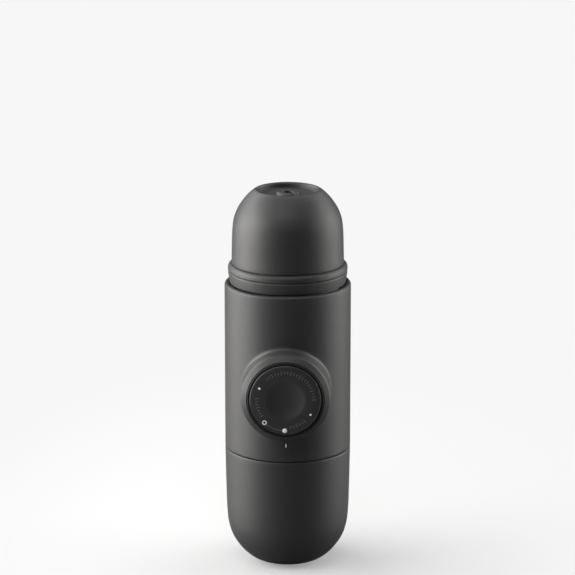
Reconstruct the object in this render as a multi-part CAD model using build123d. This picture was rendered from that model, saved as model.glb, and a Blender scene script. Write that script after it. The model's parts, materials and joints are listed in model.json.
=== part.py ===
from build123d import *
import math
import os

os.makedirs("parts", exist_ok=True)

# ---------------------------------------------------------------- driving sizes, mm
R_BODY = 29.0            # outer radius of tank rim and main body
R_BODY_IN = 26.4         # inside of the main body tube
R_MOUTH = 26.5           # inside of the threaded mouth
Z_TANK_RIM = 55.0        # top of the tank's outer cup
Z_COLLAR = 67.6          # top of the tank's inner collar
R_COLLAR = 25.8
R_COLLAR_IN = 24.4
Z_BODY_LOW = 55.25       # lower edge of the main body
Z_BODY_TOP = 133.0       # mouth of the main body
Z_KNOB = 88.0            # height of knob and piston axis
R_BOSS = 20.8            # boss round the knob
Y_BOSS = -38.6           # front face of the boss
Y_FACE = -39.5           # front face of the knob
R_SLEEVE = 17.8
R_SLEEVE_IN = 16.35
R_KNOB = 16.1
R_BORE = 8.0             # pump bore
R_ROD = 4.0
Y_PUMP = 19.5            # valves stand on this line
Z_DECK = 69.45           # underside of the pump deck
Z_DECK_TOP = 72.0
Z_CHAMBER = 107.2        # underside of the brew chamber
Z_HEAD = 133.25          # underside of the head's flange
Z_TOP = 176.5            # top of the head
Z_SPLIT = 138.8          # joint line between dome and thread ring
Z_THREAD_LOW = 125.9     # lower edge of the head's thread
R_THREAD_ROOT = 24.7
R_THREAD = 26.15
THREAD_PITCH = 3.9
WALL = 1.5

KNOB_AXIS = Axis((0, 0, Z_KNOB), (0, 1, 0))


# ---------------------------------------------------------------- helpers
def edges_of(points, place):
    """Closed outline. A point is (a, b) or (a, b, corner radius)."""
    n = len(points)
    start, end, mid = [], [], []
    for i in range(n):
        here = Vector(points[i][0], points[i][1])
        radius = points[i][2] if len(points[i]) > 2 else 0
        if radius == 0:
            start.append(here)
            end.append(here)
            mid.append(None)
            continue
        before = Vector(points[i - 1][0], points[i - 1][1])
        after = Vector(points[(i + 1) % n][0], points[(i + 1) % n][1])
        u = (before - here).normalized()
        v = (after - here).normalized()
        half = math.acos(max(-1.0, min(1.0, u.dot(v)))) / 2
        reach = radius / math.tan(half)
        bisector = (u + v).normalized()
        centre = here + bisector * (radius / math.sin(half))
        start.append(here + u * reach)
        end.append(here + v * reach)
        mid.append(centre - bisector * radius)
    out = []
    for i in range(n):
        if mid[i] is not None:
            out.append(ThreePointArc(place(start[i]), place(mid[i]), place(end[i])))
        j = (i + 1) % n
        if (end[i] - start[j]).length > 1e-6:
            out.append(Line(place(end[i]), place(start[j])))
    return out


def rz(p):
    return (p.X, 0, p.Y)


def ry(p):
    return (p.X, p.Y, Z_KNOB)


def face_from(edges):
    return Face(Wire(edges))


def turn_z(points):
    """Solid of revolution about the body axis from (r, z) points."""
    return Part() + revolve(face_from(edges_of(points, rz)), axis=Axis.Z)


def turn_y(points):
    """Solid of revolution about the knob axis from (r, y) points."""
    return Part() + revolve(face_from(edges_of(points, ry)), axis=KNOB_AXIS)


def post(x, y, z0, z1, r):
    return Pos(x, y, (z0 + z1) / 2) * Cylinder(r, z1 - z0)


def along_y(r, y0, y1, z=Z_KNOB, x=0):
    return Pos(x, (y0 + y1) / 2, z) * Rot(90, 0, 0) * Cylinder(r, y1 - y0)


def block(x0, x1, y0, y1, z0, z1):
    return Pos((x0 + x1) / 2, (y0 + y1) / 2, (z0 + z1) / 2) * Box(x1 - x0, y1 - y0, z1 - z0)


def offset_curve(points, d):
    """Points moved d to the left of the direction of travel."""
    out = []
    for i, (a, b) in enumerate(points):
        a0, b0 = points[max(i - 1, 0)]
        a1, b1 = points[min(i + 1, len(points) - 1)]
        if i == 0:
            ta, tb = 1.0, 0.0
        else:
            ta, tb = a1 - a0, b1 - b0
        length = math.hypot(ta, tb)
        out.append((a - tb / length * d, b + ta / length * d))
    return out


def spline(points, t0, t1):
    return Spline([(a, 0, b) for a, b in points], tangents=[(t0[0], 0, t0[1]), (t1[0], 0, t1[1])])


def write(shape, name):
    solids = shape.solids()
    out = solids[0] if len(solids) == 1 else Compound(children=list(solids))
    export_step(out, "parts/" + name + ".step")
    print(name, len(solids), round(sum(s.volume for s in solids), 1))


def helix_sweep(radius, pitch, height, section_points, start_angle, z0):
    """Ridge or groove that follows a helix about the body axis.
    section_points are (radial offset, axial offset) from the helix."""
    path = Helix(pitch, height, radius)
    at = path @ 0
    place = lambda p: (at.X + p.X, at.Y, at.Z + p.Y)
    section = face_from(edges_of(section_points, place))
    body = sweep(section, path=path, is_frenet=True)
    return Pos(0, 0, z0) * Rot(0, 0, start_angle) * (Part() + body)


# ================================================================ water tank
tank_curve = [(11.5, 0.0), (15.8, 1.15), (19.6, 3.7), (23.2, 7.9), (25.7, 12.6),
              (27.3, 18.0), (28.15, 24.0), (28.6, 34.0), (28.85, 46.0), (28.98, 54.3)]


def tank_offset(d, top):
    pts = offset_curve(tank_curve, d)
    pts = pts[:-1] + [(pts[-1][0], top)]
    return pts


# outer cup
outer = tank_curve
inner = tank_offset(WALL, 54.6)
rim_out = outer[-1]
rim_in = inner[-1]
cup_edges = [
    Line((0, 0, 0), (outer[0][0], 0, 0)),
    spline(list(reversed(outer)), (-0.012, -1), (-1, 0)),
    ThreePointArc((rim_out[0], 0, rim_out[1]), (rim_out[0] - 0.22, 0, 54.82), (rim_out[0] - 0.7, 0, 55.0)),
    Line((rim_out[0] - 0.7, 0, 55.0), (rim_in[0] + 0.35, 0, 55.0)),
    ThreePointArc((rim_in[0] + 0.35, 0, 55.0), (rim_in[0] + 0.1, 0, 54.88), (rim_in[0], 0, 54.6)),
    spline(list(reversed(inner)), (-0.012, -1), (-1, 0)),
    Line((inner[0][0], 0, WALL), (0, 0, WALL)),
    Line((0, 0, WALL), (0, 0, 0)),
]
tank_shell = Part() + revolve(face_from(cup_edges), axis=Axis.Z)
# fine moulded ring in the foot
tank_shell = tank_shell - turn_z([(8.6, -1), (9.1, -1), (9.1, 0.25), (8.6, 0.25)])
write(tank_shell, "tank_shell")

# inner vessel with the collar that enters the main body
lo = tank_offset(WALL + 0.3, 54.1)
li = tank_offset(WALL + 1.8, 52.6)
vessel_edges = [
    Line((0, 0, WALL + 0.3), (lo[0][0], 0, WALL + 0.3)),
    spline(list(reversed(lo)), (-0.012, -1), (-1, 0)),
    Line((lo[-1][0], 0, 54.1), (lo[-1][0] - 0.2, 0, 54.3)),
    Line((lo[-1][0] - 0.2, 0, 54.3), (R_COLLAR + 1.0, 0, 54.35)),
    ThreePointArc((R_COLLAR + 1.0, 0, 54.35), (R_COLLAR + 0.3, 0, 54.66), (R_COLLAR, 0, 55.4)),
    Line((R_COLLAR, 0, 55.4), (R_COLLAR, 0, Z_COLLAR - 0.45)),
    ThreePointArc((R_COLLAR, 0, Z_COLLAR - 0.45), (R_COLLAR - 0.14, 0, Z_COLLAR - 0.13), (R_COLLAR - 0.45, 0, Z_COLLAR)),
    Line((R_COLLAR - 0.45, 0, Z_COLLAR), (R_COLLAR_IN + 0.4, 0, Z_COLLAR)),
    ThreePointArc((R_COLLAR_IN + 0.4, 0, Z_COLLAR), (R_COLLAR_IN + 0.12, 0, Z_COLLAR - 0.12), (R_COLLAR_IN, 0, Z_COLLAR - 0.4)),
    Line((R_COLLAR_IN, 0, Z_COLLAR - 0.4), (R_COLLAR_IN, 0, 53.1)),
    Line((R_COLLAR_IN, 0, 53.1), (li[-1][0], 0, 52.6)),
    spline(list(reversed(li)), (-0.012, -1), (-1, 0)),
    Line((li[0][0], 0, WALL + 1.8), (0, 0, WALL + 1.8)),
    Line((0, 0, WALL + 1.8), (0, 0, WALL + 0.3)),
]
tank_liner = Part() + revolve(face_from(vessel_edges), axis=Axis.Z)
tank_liner = tank_liner + post(0, 0, WALL, WALL + 0.6, 9.5)
# four slanted bayonet lugs inside the collar, right-hand
lug_band = turn_z([(23.75, 56), (R_COLLAR_IN + 0.3, 56), (R_COLLAR_IN + 0.3, 64), (23.75, 64)])
for centre in (40, 140, 220, 320):
    bar = Pos(0, 0, 60.1) * Rot(0, 0, centre) * Pos(24.1, 0, 0) * Rot(18.5, 0, 0) * Box(4, 8.4, 1.05)
    tank_liner = tank_liner + (bar & lug_band)
write(tank_liner, "tank_liner")

# flat ring between the collar and the pump deck
tank_seal = turn_z([(23.7, 67.85, 0.25), (25.7, 67.85, 0.25), (25.7, 69.15, 0.25), (23.7, 69.15, 0.25)])
write(tank_seal, "tank_seal")

# ================================================================ main body shell
shell = turn_z([(0, Z_BODY_LOW), (R_BODY, Z_BODY_LOW, 0.5), (R_BODY, Z_BODY_TOP, 1.1), (0, Z_BODY_TOP)])
boss = turn_y([(0, -12), (R_BOSS, -12), (R_BOSS, -36.5, 1.5), (18.15, Y_BOSS - 0.1, 0.15), (0, Y_BOSS - 0.1)])
joined = shell + boss
seam = [e for e in joined.edges() if e.geom_type not in (GeomType.LINE, GeomType.CIRCLE)
        and e.center().Y < -18 and e.length > 20]
blended = None
for radius in (2.0, 1.7, 1.4):
    try:
        trial = fillet(seam, radius)
        if trial.solids() and trial.solids()[0].is_valid:
            blended = trial
            print("boss blend radius", radius)
            break
    except Exception as problem:
        print("boss blend", radius, "refused")
body_shell = blended if blended is not None else joined
hollow = turn_z([(0, 54), (R_BODY_IN, 54), (R_BODY_IN, Z_DECK_TOP), (25.5, Z_DECK_TOP), (25.5, 74.0),
                 (R_BODY_IN, 75.0), (R_BODY_IN, 104.6), (25.2, 105.6), (25.2, Z_CHAMBER), (R_BODY_IN, Z_CHAMBER),
                 (R_BODY_IN, 122.0), (R_MOUTH, 122.2), (R_MOUTH, 132.5), (R_MOUTH + 0.5, 133.0), (R_MOUTH + 0.5, 134), (0, 134)])
body_shell = body_shell - hollow
body_shell = body_shell - along_y(R_SLEEVE + 0.05, -42, -10)
# thread groove inside the mouth
groove = helix_sweep(R_MOUTH, THREAD_PITCH, THREAD_PITCH * 1.75,
                     [(-0.6, -0.75), (0.75, -0.4), (0.75, 0.4), (-0.6, 0.75)], -150, 124.6)
body_shell = body_shell - groove
# pocket for the index mark
mark_block = block(-0.24, 0.24, -30, -28, 62.5, 64.3)
mark_pocket = mark_block & turn_z([(28.72, 60), (30.5, 60), (30.5, 66), (28.72, 66)])
body_shell = body_shell - mark_pocket
write(body_shell, "body_shell")

index_mark = mark_block & turn_z([(28.72, 60), (R_BODY + 0.03, 60), (R_BODY + 0.03, 66), (28.72, 66)])
write(index_mark, "index_mark")

# ================================================================ pump deck
pump_deck = turn_z([(0, Z_DECK), (R_BODY_IN - 0.05, Z_DECK, 0.3), (R_BODY_IN - 0.05, Z_DECK_TOP), (0, Z_DECK_TOP)])
pump_deck = pump_deck + turn_z([(21.6, 57.6, 0.4), (23.3, 57.6, 0.4), (23.3, Z_DECK + 0.5), (21.6, Z_DECK + 0.5)])
for centre in (0, 90, 180, 270):
    pump_deck = pump_deck + (Pos(0, 0, 63.6) * Rot(0, 0, centre + 45) * Pos(20.6, 0, 0) * Box(2.4, 1.4, 12))
pump_deck = pump_deck - post(0, Y_PUMP, 60, 80, 1.4)
# trough that clears the knob's guide cup
pump_deck = pump_deck - along_y(R_SLEEVE + 0.3, -30, -14.5)
AIR = (-16.0, -5.0)
pump_deck = pump_deck - post(AIR[0], AIR[1], 60, 80, 0.9)
for dx, dy in ((2.3, 0), (-2.3, 0), (0, 2.3), (0, -2.3)):
    pump_deck = pump_deck - post(AIR[0] + dx, AIR[1] + dy, 60, 80, 0.6)
SCREWS = [(6.4, -9.5), (-6.4, -9.5), (6.4, 9.5), (-6.4, 9.5)]
for x, y in SCREWS:
    pump_deck = pump_deck - post(x, y, 60, 80, 1.4)
write(pump_deck, "pump_deck")

screws = Part()
for x, y in SCREWS:
    head = post(x, y, 67.75, Z_DECK, 2.3) - (Pos(x, y, 67.9) * Box(0.7, 2.8, 1.2)) - (Pos(x, y, 67.9) * Box(2.8, 0.7, 1.2))
    screws = screws + (head + post(x, y, Z_DECK - 0.1, 77.2, 1.2))
write(screws, "deck_screws")

# strainer under the water inlet
strainer = post(0, Y_PUMP, 65.4, Z_DECK, 2.05) - post(0, Y_PUMP, 66.0, Z_DECK + 1, 1.6)
for k in range(7):
    dx = 1.0 * math.cos(math.radians(60 * k)) if k < 6 else 0
    dy = 1.0 * math.sin(math.radians(60 * k)) if k < 6 else 0
    strainer = strainer - post(dx, Y_PUMP + dy, 65, 66.5, 0.25)
write(strainer, "suction_strainer")

# umbrella valve that lets air into the tank
air_valve = post(AIR[0], AIR[1], 68.85, Z_DECK, 3.2) + post(AIR[0], AIR[1], 69.3, 72.6, 0.8) + post(AIR[0], AIR[1], Z_DECK_TOP, 72.9, 1.5)
write(air_valve, "air_valve")

# ================================================================ pump
Y_FRONT, Y_BACK = -15.9, 22.0
pump = along_y(9.6, Y_FRONT, Y_BACK)
for x, y in SCREWS:
    pump = pump + post(x, y, Z_DECK_TOP, 84.0, 2.7)
pump = pump - along_y(R_BORE, Y_FRONT - 1, Y_BACK + 1)
for x, y in SCREWS:
    pump = pump - post(x, y, 71, 77.6, 1.25)
pump = pump - post(0, Y_PUMP, 70, 106, 1.3)
CAGE_R = 3.9
pump = pump - post(0, Y_PUMP, 70, 79.2, CAGE_R + 0.02)
pump = pump - post(0, Y_PUMP, 96.8, 106, CAGE_R + 0.02)
write(pump, "pump_cylinder")

end_cap = turn_y([(0, Y_BACK + 0.02), (9.6, Y_BACK + 0.02), (9.6, 23.7, 0.5), (0, 23.7)])
end_cap = end_cap + along_y(7.2, 21.0, Y_BACK + 0.1) - along_y(6.0, 20.5, 21.6)
end_cap = end_cap - post(0, Y_PUMP, 70, 79.2, CAGE_R + 0.02) - post(0, Y_PUMP, 96.8, 106, CAGE_R + 0.02)
write(end_cap, "cylinder_end_cap")

cap_seal = turn_y([(7.25, 21.1, 0.15), (7.9, 21.1, 0.15), (7.9, 21.85, 0.15), (7.25, 21.85, 0.15)])
write(cap_seal, "end_cap_seal")

gland = turn_y([(R_ROD + 0.06, Y_FRONT + 0.1), (7.95, Y_FRONT + 0.1), (7.95, Y_FRONT + 4.0, 0.3), (R_ROD + 1.6, Y_FRONT + 4.0),
                (R_ROD + 1.6, Y_FRONT + 2.4), (R_ROD + 0.06, Y_FRONT + 2.4)])
write(gland, "rod_gland")

gland_seal = turn_y([(R_ROD + 0.05, Y_FRONT + 2.45), (R_ROD + 1.55, Y_FRONT + 2.45), (R_ROD + 1.55, Y_FRONT + 3.9, 0.3), (R_ROD + 0.05, Y_FRONT + 3.9, 0.3)])
write(gland_seal, "gland_seal")

# valves: each cage holds a ball that lifts off a cone seat
BALL = 1.9


def cage(z0, z1, seat_z, bore_top, hole):
    """Tube with a small hole below, a cone seat and a wider bore for the ball."""
    cavity = [(0, z0 - 1), (hole, z0 - 1), (hole, seat_z), (2.5, seat_z + (2.5 - hole)), (2.5, bore_top), (1.3, bore_top), (1.3, z1 + 1), (0, z1 + 1)]
    solid = turn_z([(0, z0), (CAGE_R, z0), (CAGE_R, z1), (0, z1)]) - turn_z(cavity)
    return Pos(0, Y_PUMP, 0) * solid


Z_IN0, Z_IN1 = Z_DECK_TOP, 79.1
in_cage = cage(Z_IN0, Z_IN1, 73.2, 77.9, 1.2)
in_cage = in_cage - along_y(R_BORE, Y_FRONT, Y_BACK + 1)
write(in_cage, "inlet_valve_cage")
# a ball of radius BALL rests on a 45 degree cone that starts at radius 1.2
z_in_ball = 73.2 - 1.2 + BALL * math.sqrt(2) + 0.04
write(Part() + Pos(0, Y_PUMP, z_in_ball) * Sphere(BALL), "inlet_ball")

Z_OUT0, Z_OUT1 = 96.9, Z_CHAMBER - 0.02
out_cage = cage(Z_OUT0, Z_OUT1, 97.9, 105.6, 1.2)
write(out_cage, "outlet_valve_cage")
z_out_ball = 97.9 - 1.2 + BALL * math.sqrt(2) + 0.04
write(Part() + Pos(0, Y_PUMP, z_out_ball) * Sphere(BALL), "outlet_ball")

z_vs0, z_vs1 = z_out_ball + BALL + 0.35, 105.35
v_path = Helix((z_vs1 - z_vs0 - 0.5) / 3.5, z_vs1 - z_vs0 - 0.5, 1.75)
v_at, v_t = v_path @ 0, v_path % 0
v_spring = sweep((Plane(origin=v_at, z_dir=v_t) * Circle(0.22)).face(), path=v_path, is_frenet=True)
write(Part() + Pos(0, Y_PUMP, z_vs0 + 0.25) * v_spring, "outlet_valve_spring")

# ================================================================ knob guide and piston
sleeve = turn_y([(R_SLEEVE_IN, -39.0, 0.3), (R_SLEEVE, -39.0, 0.5), (R_SLEEVE, -17.6), (R_SLEEVE, -16.0), (R_ROD + 0.9, -16.0),
                 (R_ROD + 0.9, -17.6), (R_SLEEVE_IN, -17.6)])
write(sleeve, "knob_sleeve")

rod = turn_y([(0, -36.2), (R_ROD, -36.2, 0.4), (R_ROD, -28.4), (3.3, -28.4), (3.3, -27.5), (R_ROD, -27.5), (R_ROD, 11.0), (2.6, 11.0), (2.6, 17.2), (0, 17.2)])
write(rod, "piston_rod")

head_piece = turn_y([(2.62, 11.02), (7.8, 11.02), (7.8, 12.2), (6.7, 12.2), (6.7, 13.5), (7.8, 13.5), (7.8, 14.6), (6.7, 14.6), (6.7, 15.9), (7.8, 15.9), (7.8, 17.4, 0.4), (2.62, 17.4)])
write(head_piece, "piston_head")

seals = turn_y([(6.75, 12.3, 0.2), (7.95, 12.3, 0.5), (7.95, 13.4, 0.5), (6.75, 13.4, 0.2)]) + turn_y([(6.75, 14.7, 0.2), (7.95, 14.7, 0.5), (7.95, 15.8, 0.5), (6.75, 15.8, 0.2)])
write(seals, "piston_seals")

clip = turn_y([(3.35, -28.3), (5.8, -28.3, 0.1), (5.8, -27.6, 0.1), (3.35, -27.6)]) - block(-1.6, 1.6, -29, -27, Z_KNOB - 9, Z_KNOB)
write(clip, "knob_clip")

# return spring round the rod, between the guide cup and the knob
s_y0, s_y1 = -18.3, -36.6
s_len = abs(s_y1 - s_y0)
s_path = Helix((s_len - 1.0) / 5.5, s_len - 1.0, 8.4)
s_at, s_t = s_path @ 0, s_path % 0
s_wire = sweep((Plane(origin=s_at, z_dir=s_t) * Circle(0.45)).face(), path=s_path, is_frenet=True)
return_spring = Pos(0, s_y0 - 0.5, Z_KNOB) * Rot(90, 0, 0) * (Part() + s_wire)
write(return_spring, "return_spring")

# knob: a cup that slides in the sleeve and turns on the rod
DISH_R, DISH_DEEP = 9.2, 1.0
dish_sphere = (DISH_R ** 2 + DISH_DEEP ** 2) / (2 * DISH_DEEP)
knob = turn_y([(0, Y_FACE), (R_KNOB, Y_FACE, 0.5), (R_KNOB, -19.6, 0.3), (R_KNOB - 1.3, -19.6, 0.3), (R_KNOB - 1.3, -36.9), (0, -36.9)])
knob = knob + turn_y([(0, -37.2), (6.3, -37.2), (6.3, -28.6), (0, -28.6)])
knob = knob - along_y(R_ROD + 0.05, -36.5, -20)
knob = knob - (Pos(0, Y_FACE - dish_sphere + DISH_DEEP, Z_KNOB) * Sphere(dish_sphere))
RING_IN, RING_OUT, RING_DEEP = 9.9, 15.55, 0.5
knob = knob - turn_y([(RING_IN, Y_FACE - 1), (RING_OUT, Y_FACE - 1), (RING_OUT, Y_FACE + RING_DEEP), (RING_IN, Y_FACE + RING_DEEP)])
write(knob, "knob_cap")

# dial marks, inlaid 0.2 deep in the dial ring and 0.03 proud
MARK_IN, MARK_OUT = Y_FACE + 0.2, Y_FACE - 0.03


def dial_xy(r, deg):
    return r * math.cos(math.radians(deg)), Z_KNOB + r * math.sin(math.radians(deg))


def dial_dot(r, deg, radius, grow=0.0):
    x, z = dial_xy(r, deg)
    return along_y(radius, MARK_OUT - grow, MARK_IN, z, x)


def dial_marks(grow):
    out = Part()
    out = out + dial_dot(14.2, -91, 1.05, grow)
    out = out + (dial_dot(14.05, -132, 1.05, grow) - dial_dot(14.05, -132, 0.62, grow + 1))
    out = out + dial_dot(12.9, 154.6, 0.5, grow)
    arc_band = turn_y([(14.05, MARK_OUT - grow), (14.25, MARK_OUT - grow), (14.25, MARK_IN), (14.05, MARK_IN)])
    wedge = Part()
    for deg in range(-126, -97, 4):
        x, z = dial_xy(14.15, deg + 2)
        wedge = wedge + (Pos(x, Y_FACE, z) * Rot(0, -(deg + 2), 0) * Box(1.2, 2, 1.05))
    out = out + (arc_band & wedge)
    return out


def dial_ticks(grow):
    out = Part() + dial_dot(13.1, -30, 0.5, grow)
    degs = [2 + 6.4 * k for k in range(21)] + [176 + 6.4 * k for k in range(7)] + [-79 + 6.4 * k for k in range(6)]
    for n, deg in enumerate(degs):
        x, z = dial_xy(12.9, deg)
        long = 1.9 if n % 3 == 0 else 1.2
        out = out + (Pos(x, (MARK_OUT - grow + MARK_IN) / 2, z) * Rot(0, -deg, 0) * Box(long, MARK_IN - MARK_OUT + grow, 0.22))
    return out


marks, ticks = dial_marks(0), dial_ticks(0)
ring = turn_y([(RING_IN + 0.05, Y_FACE), (RING_OUT - 0.05, Y_FACE), (RING_OUT - 0.05, Y_FACE + RING_DEEP - 0.02), (RING_IN + 0.05, Y_FACE + RING_DEEP - 0.02)])
ring = ring - dial_marks(0.5) - dial_ticks(0.5)
write(ring, "knob_dial_ring")
write(marks, "knob_marks")
write(ticks, "knob_ticks")

# ================================================================ brew chamber and basket
chamber = turn_z([(0, Z_CHAMBER), (R_BODY_IN - 0.05, Z_CHAMBER), (R_BODY_IN - 0.05, 120.0, 0.4), (24.2, 120.6, 0.3), (24.2, 125.4, 0.3),
                  (22.5, 125.4, 0.2), (22.5, 110.0), (22.9, 109.9), (22.9, 109.0), (0, 109.0)])
chamber = chamber - post(0, Y_PUMP, 106, 110, 1.3)
for k in range(6):
    a = math.radians(60 * k)
    chamber = chamber + post(12 * math.cos(a), 12 * math.sin(a), 108.9, 109.48, 1.2)
write(chamber, "brew_chamber")

plate = post(0, 0, 109.5, 110.2, 22.4)
holes = Part()
for ringr, count in ((4, 6), (8, 12), (12, 18), (16, 22), (19.5, 26)):
    for k in range(count):
        a = 2 * math.pi * k / count
        holes = holes + post(ringr * math.cos(a), ringr * math.sin(a), 109, 111, 0.45)
plate = plate - holes
write(plate, "shower_plate")

chamber_gasket = turn_z([(19.9, 110.22, 0.1), (21.9, 110.22, 0.1), (21.9, 110.75, 0.1), (19.9, 110.75, 0.1)])
write(chamber_gasket, "chamber_gasket")

basket = turn_z([(0, 110.78), (22.1, 110.78, 1.2), (22.1, 125.42), (23.0, 125.42), (23.0, 126.0, 0.2), (21.5, 126.0, 0.3), (21.5, 111.28, 0.7), (0, 111.28)])
holes = Part()
for ringr, count in ((3.5, 6), (7, 12), (10.5, 18), (14, 24), (17.5, 30)):
    for k in range(count):
        a = 2 * math.pi * k / count + 0.07 * ringr
        holes = holes + post(ringr * math.cos(a), ringr * math.sin(a), 110, 112, 0.35)
basket = basket - holes
write(basket, "filter_basket")

# ================================================================ scoop
SCOOP_Z = 111.6
scoop = turn_z([(0, SCOOP_Z), (16.9, SCOOP_Z, 9.5), (19.4, SCOOP_Z + 25.3, 0.45), (18.15, SCOOP_Z + 25.3, 0.45), (15.75, SCOOP_Z + 1.3, 8.4), (0, SCOOP_Z + 1.3)])
write(scoop, "scoop")

GR = 0.06
coffee = turn_z([(0, SCOOP_Z + 1.3 + GR), (15.69, SCOOP_Z + 1.3 + GR, 8.4), (17.93, SCOOP_Z + 23.4), (12.0, SCOOP_Z + 24.1), (0, SCOOP_Z + 24.5)])
write(coffee, "coffee_grounds")

# ================================================================ outlet head
brew_gasket = turn_z([(21.7, 126.3, 0.25), (22.95, 126.3, 0.25), (22.95, 127.5, 0.25), (21.7, 127.5, 0.25)])
write(brew_gasket, "brew_gasket")

dome_curve = [(25.72, Z_TOP - 33.6), (25.6, Z_TOP - 27.8), (25.5, Z_TOP - 23.0), (25.26, Z_TOP - 18.2), (24.58, Z_TOP - 13.4), (23.79, Z_TOP - 11.0), (22.7, Z_TOP - 8.66),
              (21.33, Z_TOP - 6.51), (19.62, Z_TOP - 4.21), (17.4, Z_TOP - 1.9), (15.2, Z_TOP - 0.25)]


def dome_offset(d):
    out = []
    for i, (a, b) in enumerate(dome_curve):
        a0, b0 = dome_curve[max(i - 1, 0)]
        a1, b1 = dome_curve[min(i + 1, len(dome_curve) - 1)]
        ta, tb = a1 - a0, b1 - b0
        length = math.hypot(ta, tb)
        out.append((a - tb / length * d, b + ta / length * d))
    return out


din = [p for p in dome_offset(1.8) if p[1] < 171.5]
RECESS_Z = Z_TOP - 2.3
dome_edges = [
    # flange half on the dome
    Line((24.2, 0, Z_SPLIT), (27.1, 0, Z_SPLIT)),
    ThreePointArc((27.1, 0, Z_SPLIT), (27.32, 0, Z_SPLIT + 0.1), (27.4, 0, Z_SPLIT + 0.35)),
    Line((27.4, 0, Z_SPLIT + 0.35), (27.35, 0, Z_SPLIT + 1.3)),
    ThreePointArc((27.35, 0, Z_SPLIT + 1.3), (27.05, 0, Z_SPLIT + 2.35), (26.3, 0, Z_SPLIT + 3.0)),
    ThreePointArc((26.3, 0, Z_SPLIT + 3.0), (25.9, 0, Z_SPLIT + 3.35), (25.72, 0, Z_TOP - 33.6)),
    Spline([(a, 0, b) for a, b in dome_curve], tangents=[(-0.01, 0, 1), (-1, 0, 0.42)]),
    ThreePointArc((dome_curve[-1][0], 0, dome_curve[-1][1]), (14.55, 0, Z_TOP), (13.95, 0, Z_TOP - 0.28)),
    Line((13.95, 0, Z_TOP - 0.28), (13.55, 0, Z_TOP - 0.75)),
    Line((13.55, 0, Z_TOP - 0.75), (13.55, 0, RECESS_Z)),
    Line((13.55, 0, RECESS_Z), (0, 0, RECESS_Z)),
    Line((0, 0, RECESS_Z), (0, 0, RECESS_Z - 1.6)),
    Line((0, 0, RECESS_Z - 1.6), (din[-1][0], 0, RECESS_Z - 1.6)),
    Line((din[-1][0], 0, RECESS_Z - 1.6), (din[-1][0], 0, din[-1][1])),
    Spline([(a, 0, b) for a, b in reversed(din)]),
    Line((din[0][0], 0, din[0][1]), (24.2, 0, 140.6)),
    Line((24.2, 0, 140.6), (24.2, 0, Z_SPLIT)),
]
head_dome = Part() + revolve(face_from(dome_edges), axis=Axis.Z)
head_dome = head_dome - post(0, 0, 170, 180, 4.3)
write(head_dome, "head_dome")

ring_profile = [(23.4, Z_THREAD_LOW, 0.3), (R_THREAD_ROOT, Z_THREAD_LOW, 0.3), (R_THREAD_ROOT, Z_HEAD), (26.75, Z_HEAD, 0.35), (27.3, Z_SPLIT - 0.5, 0.4),
                (27.0, Z_SPLIT - 0.05), (23.4, Z_SPLIT - 0.05)]
thread_ring = turn_z(ring_profile)
rt = R_THREAD - R_THREAD_ROOT
ridge = helix_sweep(R_THREAD_ROOT, THREAD_PITCH, THREAD_PITCH * 3.0,
                    [(-0.4, -1.65), (rt - 0.35, -1.25, 0.5), (rt, -0.65, 0.4), (rt, 0.65, 0.4), (rt - 0.35, 1.25, 0.5), (-0.4, 1.65)], -90, 127.2 - THREAD_PITCH)
keep = turn_z([(24.2, Z_THREAD_LOW), (27, Z_THREAD_LOW), (27, Z_HEAD + 0.05), (24.2, Z_HEAD + 0.05)])
ridge = ridge & keep
for deg in (-90 - 69, -90 + 69, 90):
    ridge = ridge - (Rot(0, 0, deg) * Pos(26.2, 0, 129.5) * Box(3.2, 2.3, 12))
thread_ring = thread_ring + ridge
for deg in (-90 - 69, -90 + 69, 90):
    nib = Rot(0, 0, deg) * Pos(24.75, 0, 126.0) * Box(0.8, 0.9, 1.8)
    thread_ring = thread_ring + nib
write(thread_ring, "head_thread_ring")

holder = turn_z([(21.7, 127.8, 0.3), (22.95, 127.8, 0.3), (22.95, Z_SPLIT), (24.0, Z_SPLIT), (24.0, 140.3), (22.5, 140.5), (4.6, 149.0), (4.6, 152.0, 0.3), (3.3, 152.0), (3.3, 148.0),
                 (19.6, 139.9), (19.6, 138.25), (21.7, 138.25)])
write(holder, "filter_holder")

filter_plate = post(0, 0, 137.55, 138.2, 21.6)
holes = Part()
for ringr, count in ((3.2, 6), (6.4, 12), (9.6, 18), (12.8, 24), (16, 30)):
    for k in range(count):
        a = 2 * math.pi * k / count + 0.05 * ringr
        holes = holes + post(ringr * math.cos(a), ringr * math.sin(a), 137, 139, 0.4)
filter_plate = filter_plate - holes
write(filter_plate, "head_filter_plate")

outlet_tube = turn_z([(2.0, 148.4), (3.25, 148.4), (3.25, 170.9), (2.0, 170.9)])
write(outlet_tube, "outlet_tube")

# outlet set into the recess on top of the head
spout = turn_z([(2.0, 171.0), (3.25, 171.0), (3.25, 171.6), (4.25, 171.6), (4.25, RECESS_Z + 0.02), (5.4, RECESS_Z + 0.02), (5.2, RECESS_Z + 0.5, 0.3), (4.3, RECESS_Z + 1.05, 0.3), (2.25, RECESS_Z + 1.05, 0.3),
                (2.0, RECESS_Z + 0.4)])
spout = spout - (Pos(2.9, -3.6, RECESS_Z + 0.9) * Rot(0, 0, -50) * Box(2.2, 1.2, 1.0))
write(spout, "spout_insert")
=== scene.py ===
import bpy
import bmesh
import json
import math
import numpy as np
from mathutils import Vector, Matrix


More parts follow.
